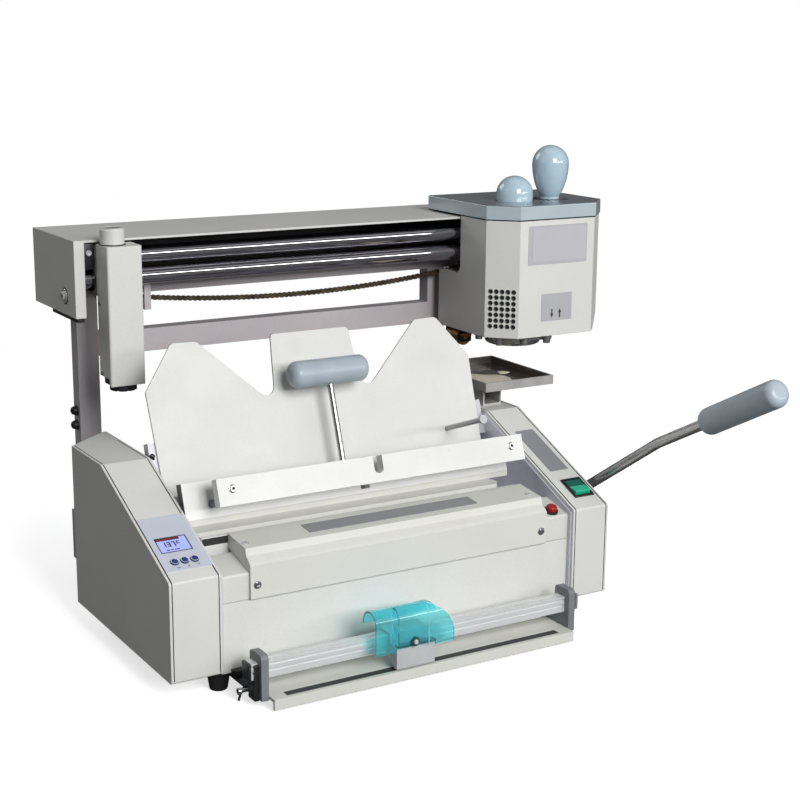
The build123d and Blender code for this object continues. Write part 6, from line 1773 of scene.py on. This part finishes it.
@dataclass(frozen=True)
class Studio:
    """A plain pale studio, and the camera at the viewing angle that the machine is shown from."""

    eye: Point = (-545.03, -1329.26, 622.70)
    azimuth: float = 31.041
    elevation: float = 13.359
    roll: float = 0.482
    lens: float = 71.03
    sensor: float = 36.0
    sight: float = 100.0
    lamps: tuple[Lamp, ...] = (
        Lamp("key", (-0.12, -2.75, 1.62), (0.0, 0.0, 0.25), 1.3, 1.3, 86.0),
        Lamp("top", (0.25, 0.3, 2.4), (0.0, 0.05, 0.3), 1.5, 1.5, 4.0),
        Lamp("left_fill", (-2.6, 0.3, 1.5), (0.0, 0.0, 0.3), 1.4, 1.4, 3.4),
        Lamp("strip", (1.72, -2.72, 1.02), (0.0, 0.0, 0.3), 2.6, 0.32, 27.0),
        Lamp("band", (1.3, -2.0, 2.3), (0.0, 0.0, 0.3), 2.6, 0.6, 2.5),
        Lamp("back_fill", (-1.3, 2.6, 1.9), (0.0, 0.0, 0.25), 1.4, 1.4, 20.0),
    )
    room_colour: str = "#F4F6FA"
    room_strength: float = 0.12
    floor_radius: float = 9.0
    paper_grain: float = 40.0
    paper_dark: float = 0.86
    paper_light: float = 0.9
    paper_glow: float = 0.66
    bounce_colour: str = "#6E6E6E"
    near_radius: float = 0.7
    far_radius: float = 1.7

    def facing(self) -> Matrix:
        """Works out how the camera is turned.

        Returns:
            Its right, up and back as a matrix.
        """
        azimuth, elevation, roll = (math.radians(a) for a in (self.azimuth, self.elevation, self.roll))
        ahead = Vector((math.sin(azimuth) * math.cos(elevation), math.cos(azimuth) * math.cos(elevation),
                        -math.sin(elevation)))
        right = Vector((math.cos(azimuth), -math.sin(azimuth), 0))
        up = right.cross(ahead)
        level_right = right * math.cos(roll) + up * math.sin(roll)
        level_up = up * math.cos(roll) - right * math.sin(roll)
        return Matrix((level_right, level_up, -ahead)).transposed().to_4x4()

    def camera(self) -> None:
        """Creates the camera, without shift or depth of field."""
        data = bpy.data.cameras.new("camera")
        data.sensor_fit = "HORIZONTAL"
        data.sensor_width = self.sensor
        data.lens = self.lens
        data.clip_end = self.sight
        camera = bpy.data.objects.new("camera", data)
        camera.matrix_world = Matrix.Translation(DATUM + Vector(self.eye) * MM) @ self.facing()
        bpy.context.scene.collection.objects.link(camera)
        bpy.context.scene.camera = camera

    def seen(self, tree: Tree) -> Socket:
        """Tells the rays that show the background, straight or through clear plastic, from all others.

        Args:
            tree: the node tree of the background.

        Returns:
            1 on such a ray and 0 on any other.
        """
        path = add(tree, "ShaderNodeLightPath")
        both = add(tree, "ShaderNodeMath", {"operation": "MAXIMUM"}, {
            0: path.outputs["Is Camera Ray"], 1: path.outputs["Is Transmission Ray"]})
        return both.outputs[0]

    def surroundings(self) -> None:
        """Lights the room evenly and weakly, and shows it white."""
        world = bpy.data.worlds.new("studio")
        bpy.context.scene.world = world
        world.use_nodes = True
        tree = world.node_tree
        tree.nodes.clear()
        room = add(tree, "ShaderNodeBackground", feeds={
            "Color": linear(self.room_colour), "Strength": self.room_strength})
        white = add(tree, "ShaderNodeBackground", feeds={"Color": WHITE, "Strength": 1.0})
        mix = add(tree, "ShaderNodeMixShader", feeds={
            0: self.seen(tree), 1: room.outputs[0], 2: white.outputs[0]})
        add(tree, "ShaderNodeOutputWorld", feeds={"Surface": mix.outputs[0]})

    def paper(self) -> bpy.types.Material:
        """Makes the floor's paper: it takes the shadow near the machine and is plain white further out.

        Returns:
            The paper's material.
        """
        material = bpy.data.materials.new("seamless_paper_white")
        material.use_nodes = True
        tree = material.node_tree
        tree.nodes.clear()
        coordinates = add(tree, "ShaderNodeTexCoord")
        grain = add(tree, "ShaderNodeTexNoise", feeds={
            "Vector": coordinates.outputs["Object"], "Scale": self.paper_grain, "Detail": 2.0})
        tone = add(tree, "ShaderNodeMapRange", feeds={
            "Value": grain.outputs[0], "To Min": self.paper_dark, "To Max": self.paper_light})
        sheet = add(tree, "ShaderNodeBsdfDiffuse", feeds={"Color": tone.outputs["Result"]})
        glow = add(tree, "ShaderNodeEmission", feeds={"Color": WHITE, "Strength": self.paper_glow})
        near = add(tree, "ShaderNodeAddShader", feeds={0: sheet.outputs[0], 1: glow.outputs[0]})
        white = add(tree, "ShaderNodeEmission", feeds={"Color": WHITE, "Strength": 1.0})
        span = add(tree, "ShaderNodeVectorMath", {"operation": "LENGTH"}, {0: coordinates.outputs["Object"]})
        far = add(tree, "ShaderNodeMapRange", feeds={
            "Value": span.outputs["Value"], "From Min": self.near_radius, "From Max": self.far_radius})
        shown = add(tree, "ShaderNodeMixShader", feeds={
            0: far.outputs["Result"], 1: near.outputs[0], 2: white.outputs[0]})
        bounce = add(tree, "ShaderNodeBsdfDiffuse", feeds={"Color": linear(self.bounce_colour)})
        mix = add(tree, "ShaderNodeMixShader", feeds={
            0: self.seen(tree), 1: bounce.outputs[0], 2: shown.outputs[0]})
        add(tree, "ShaderNodeOutputMaterial", feeds={"Surface": mix.outputs[0]})
        return material

    def floor(self) -> None:
        """Lays the wide floor."""
        mesh = bmesh.new()
        bmesh.ops.create_circle(mesh, cap_ends=True, radius=self.floor_radius, segments=96)
        data = bpy.data.meshes.new("floor")
        mesh.to_mesh(data)
        mesh.free()
        data.materials.append(self.paper())
        floor = bpy.data.objects.new("floor", data)
        bpy.context.scene.collection.objects.link(floor)

    def build(self) -> None:
        """Sets up the camera, the room, the floor and the lamps."""
        bpy.context.scene.view_settings.view_transform = "Standard"
        self.camera()
        self.surroundings()
        self.floor()
        for lamp in self.lamps:
            lamp.hang()
        LOG.info("studio ready")


def main() -> None:
    """Dresses the machine's nodes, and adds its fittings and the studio."""
    logging.basicConfig(level=logging.INFO, format="%(name)s: %(message)s")
    dress_frame()
    for fitting in FITTINGS:
        fitting.build()
    Studio().build()


if __name__ == "__main__":
    main()
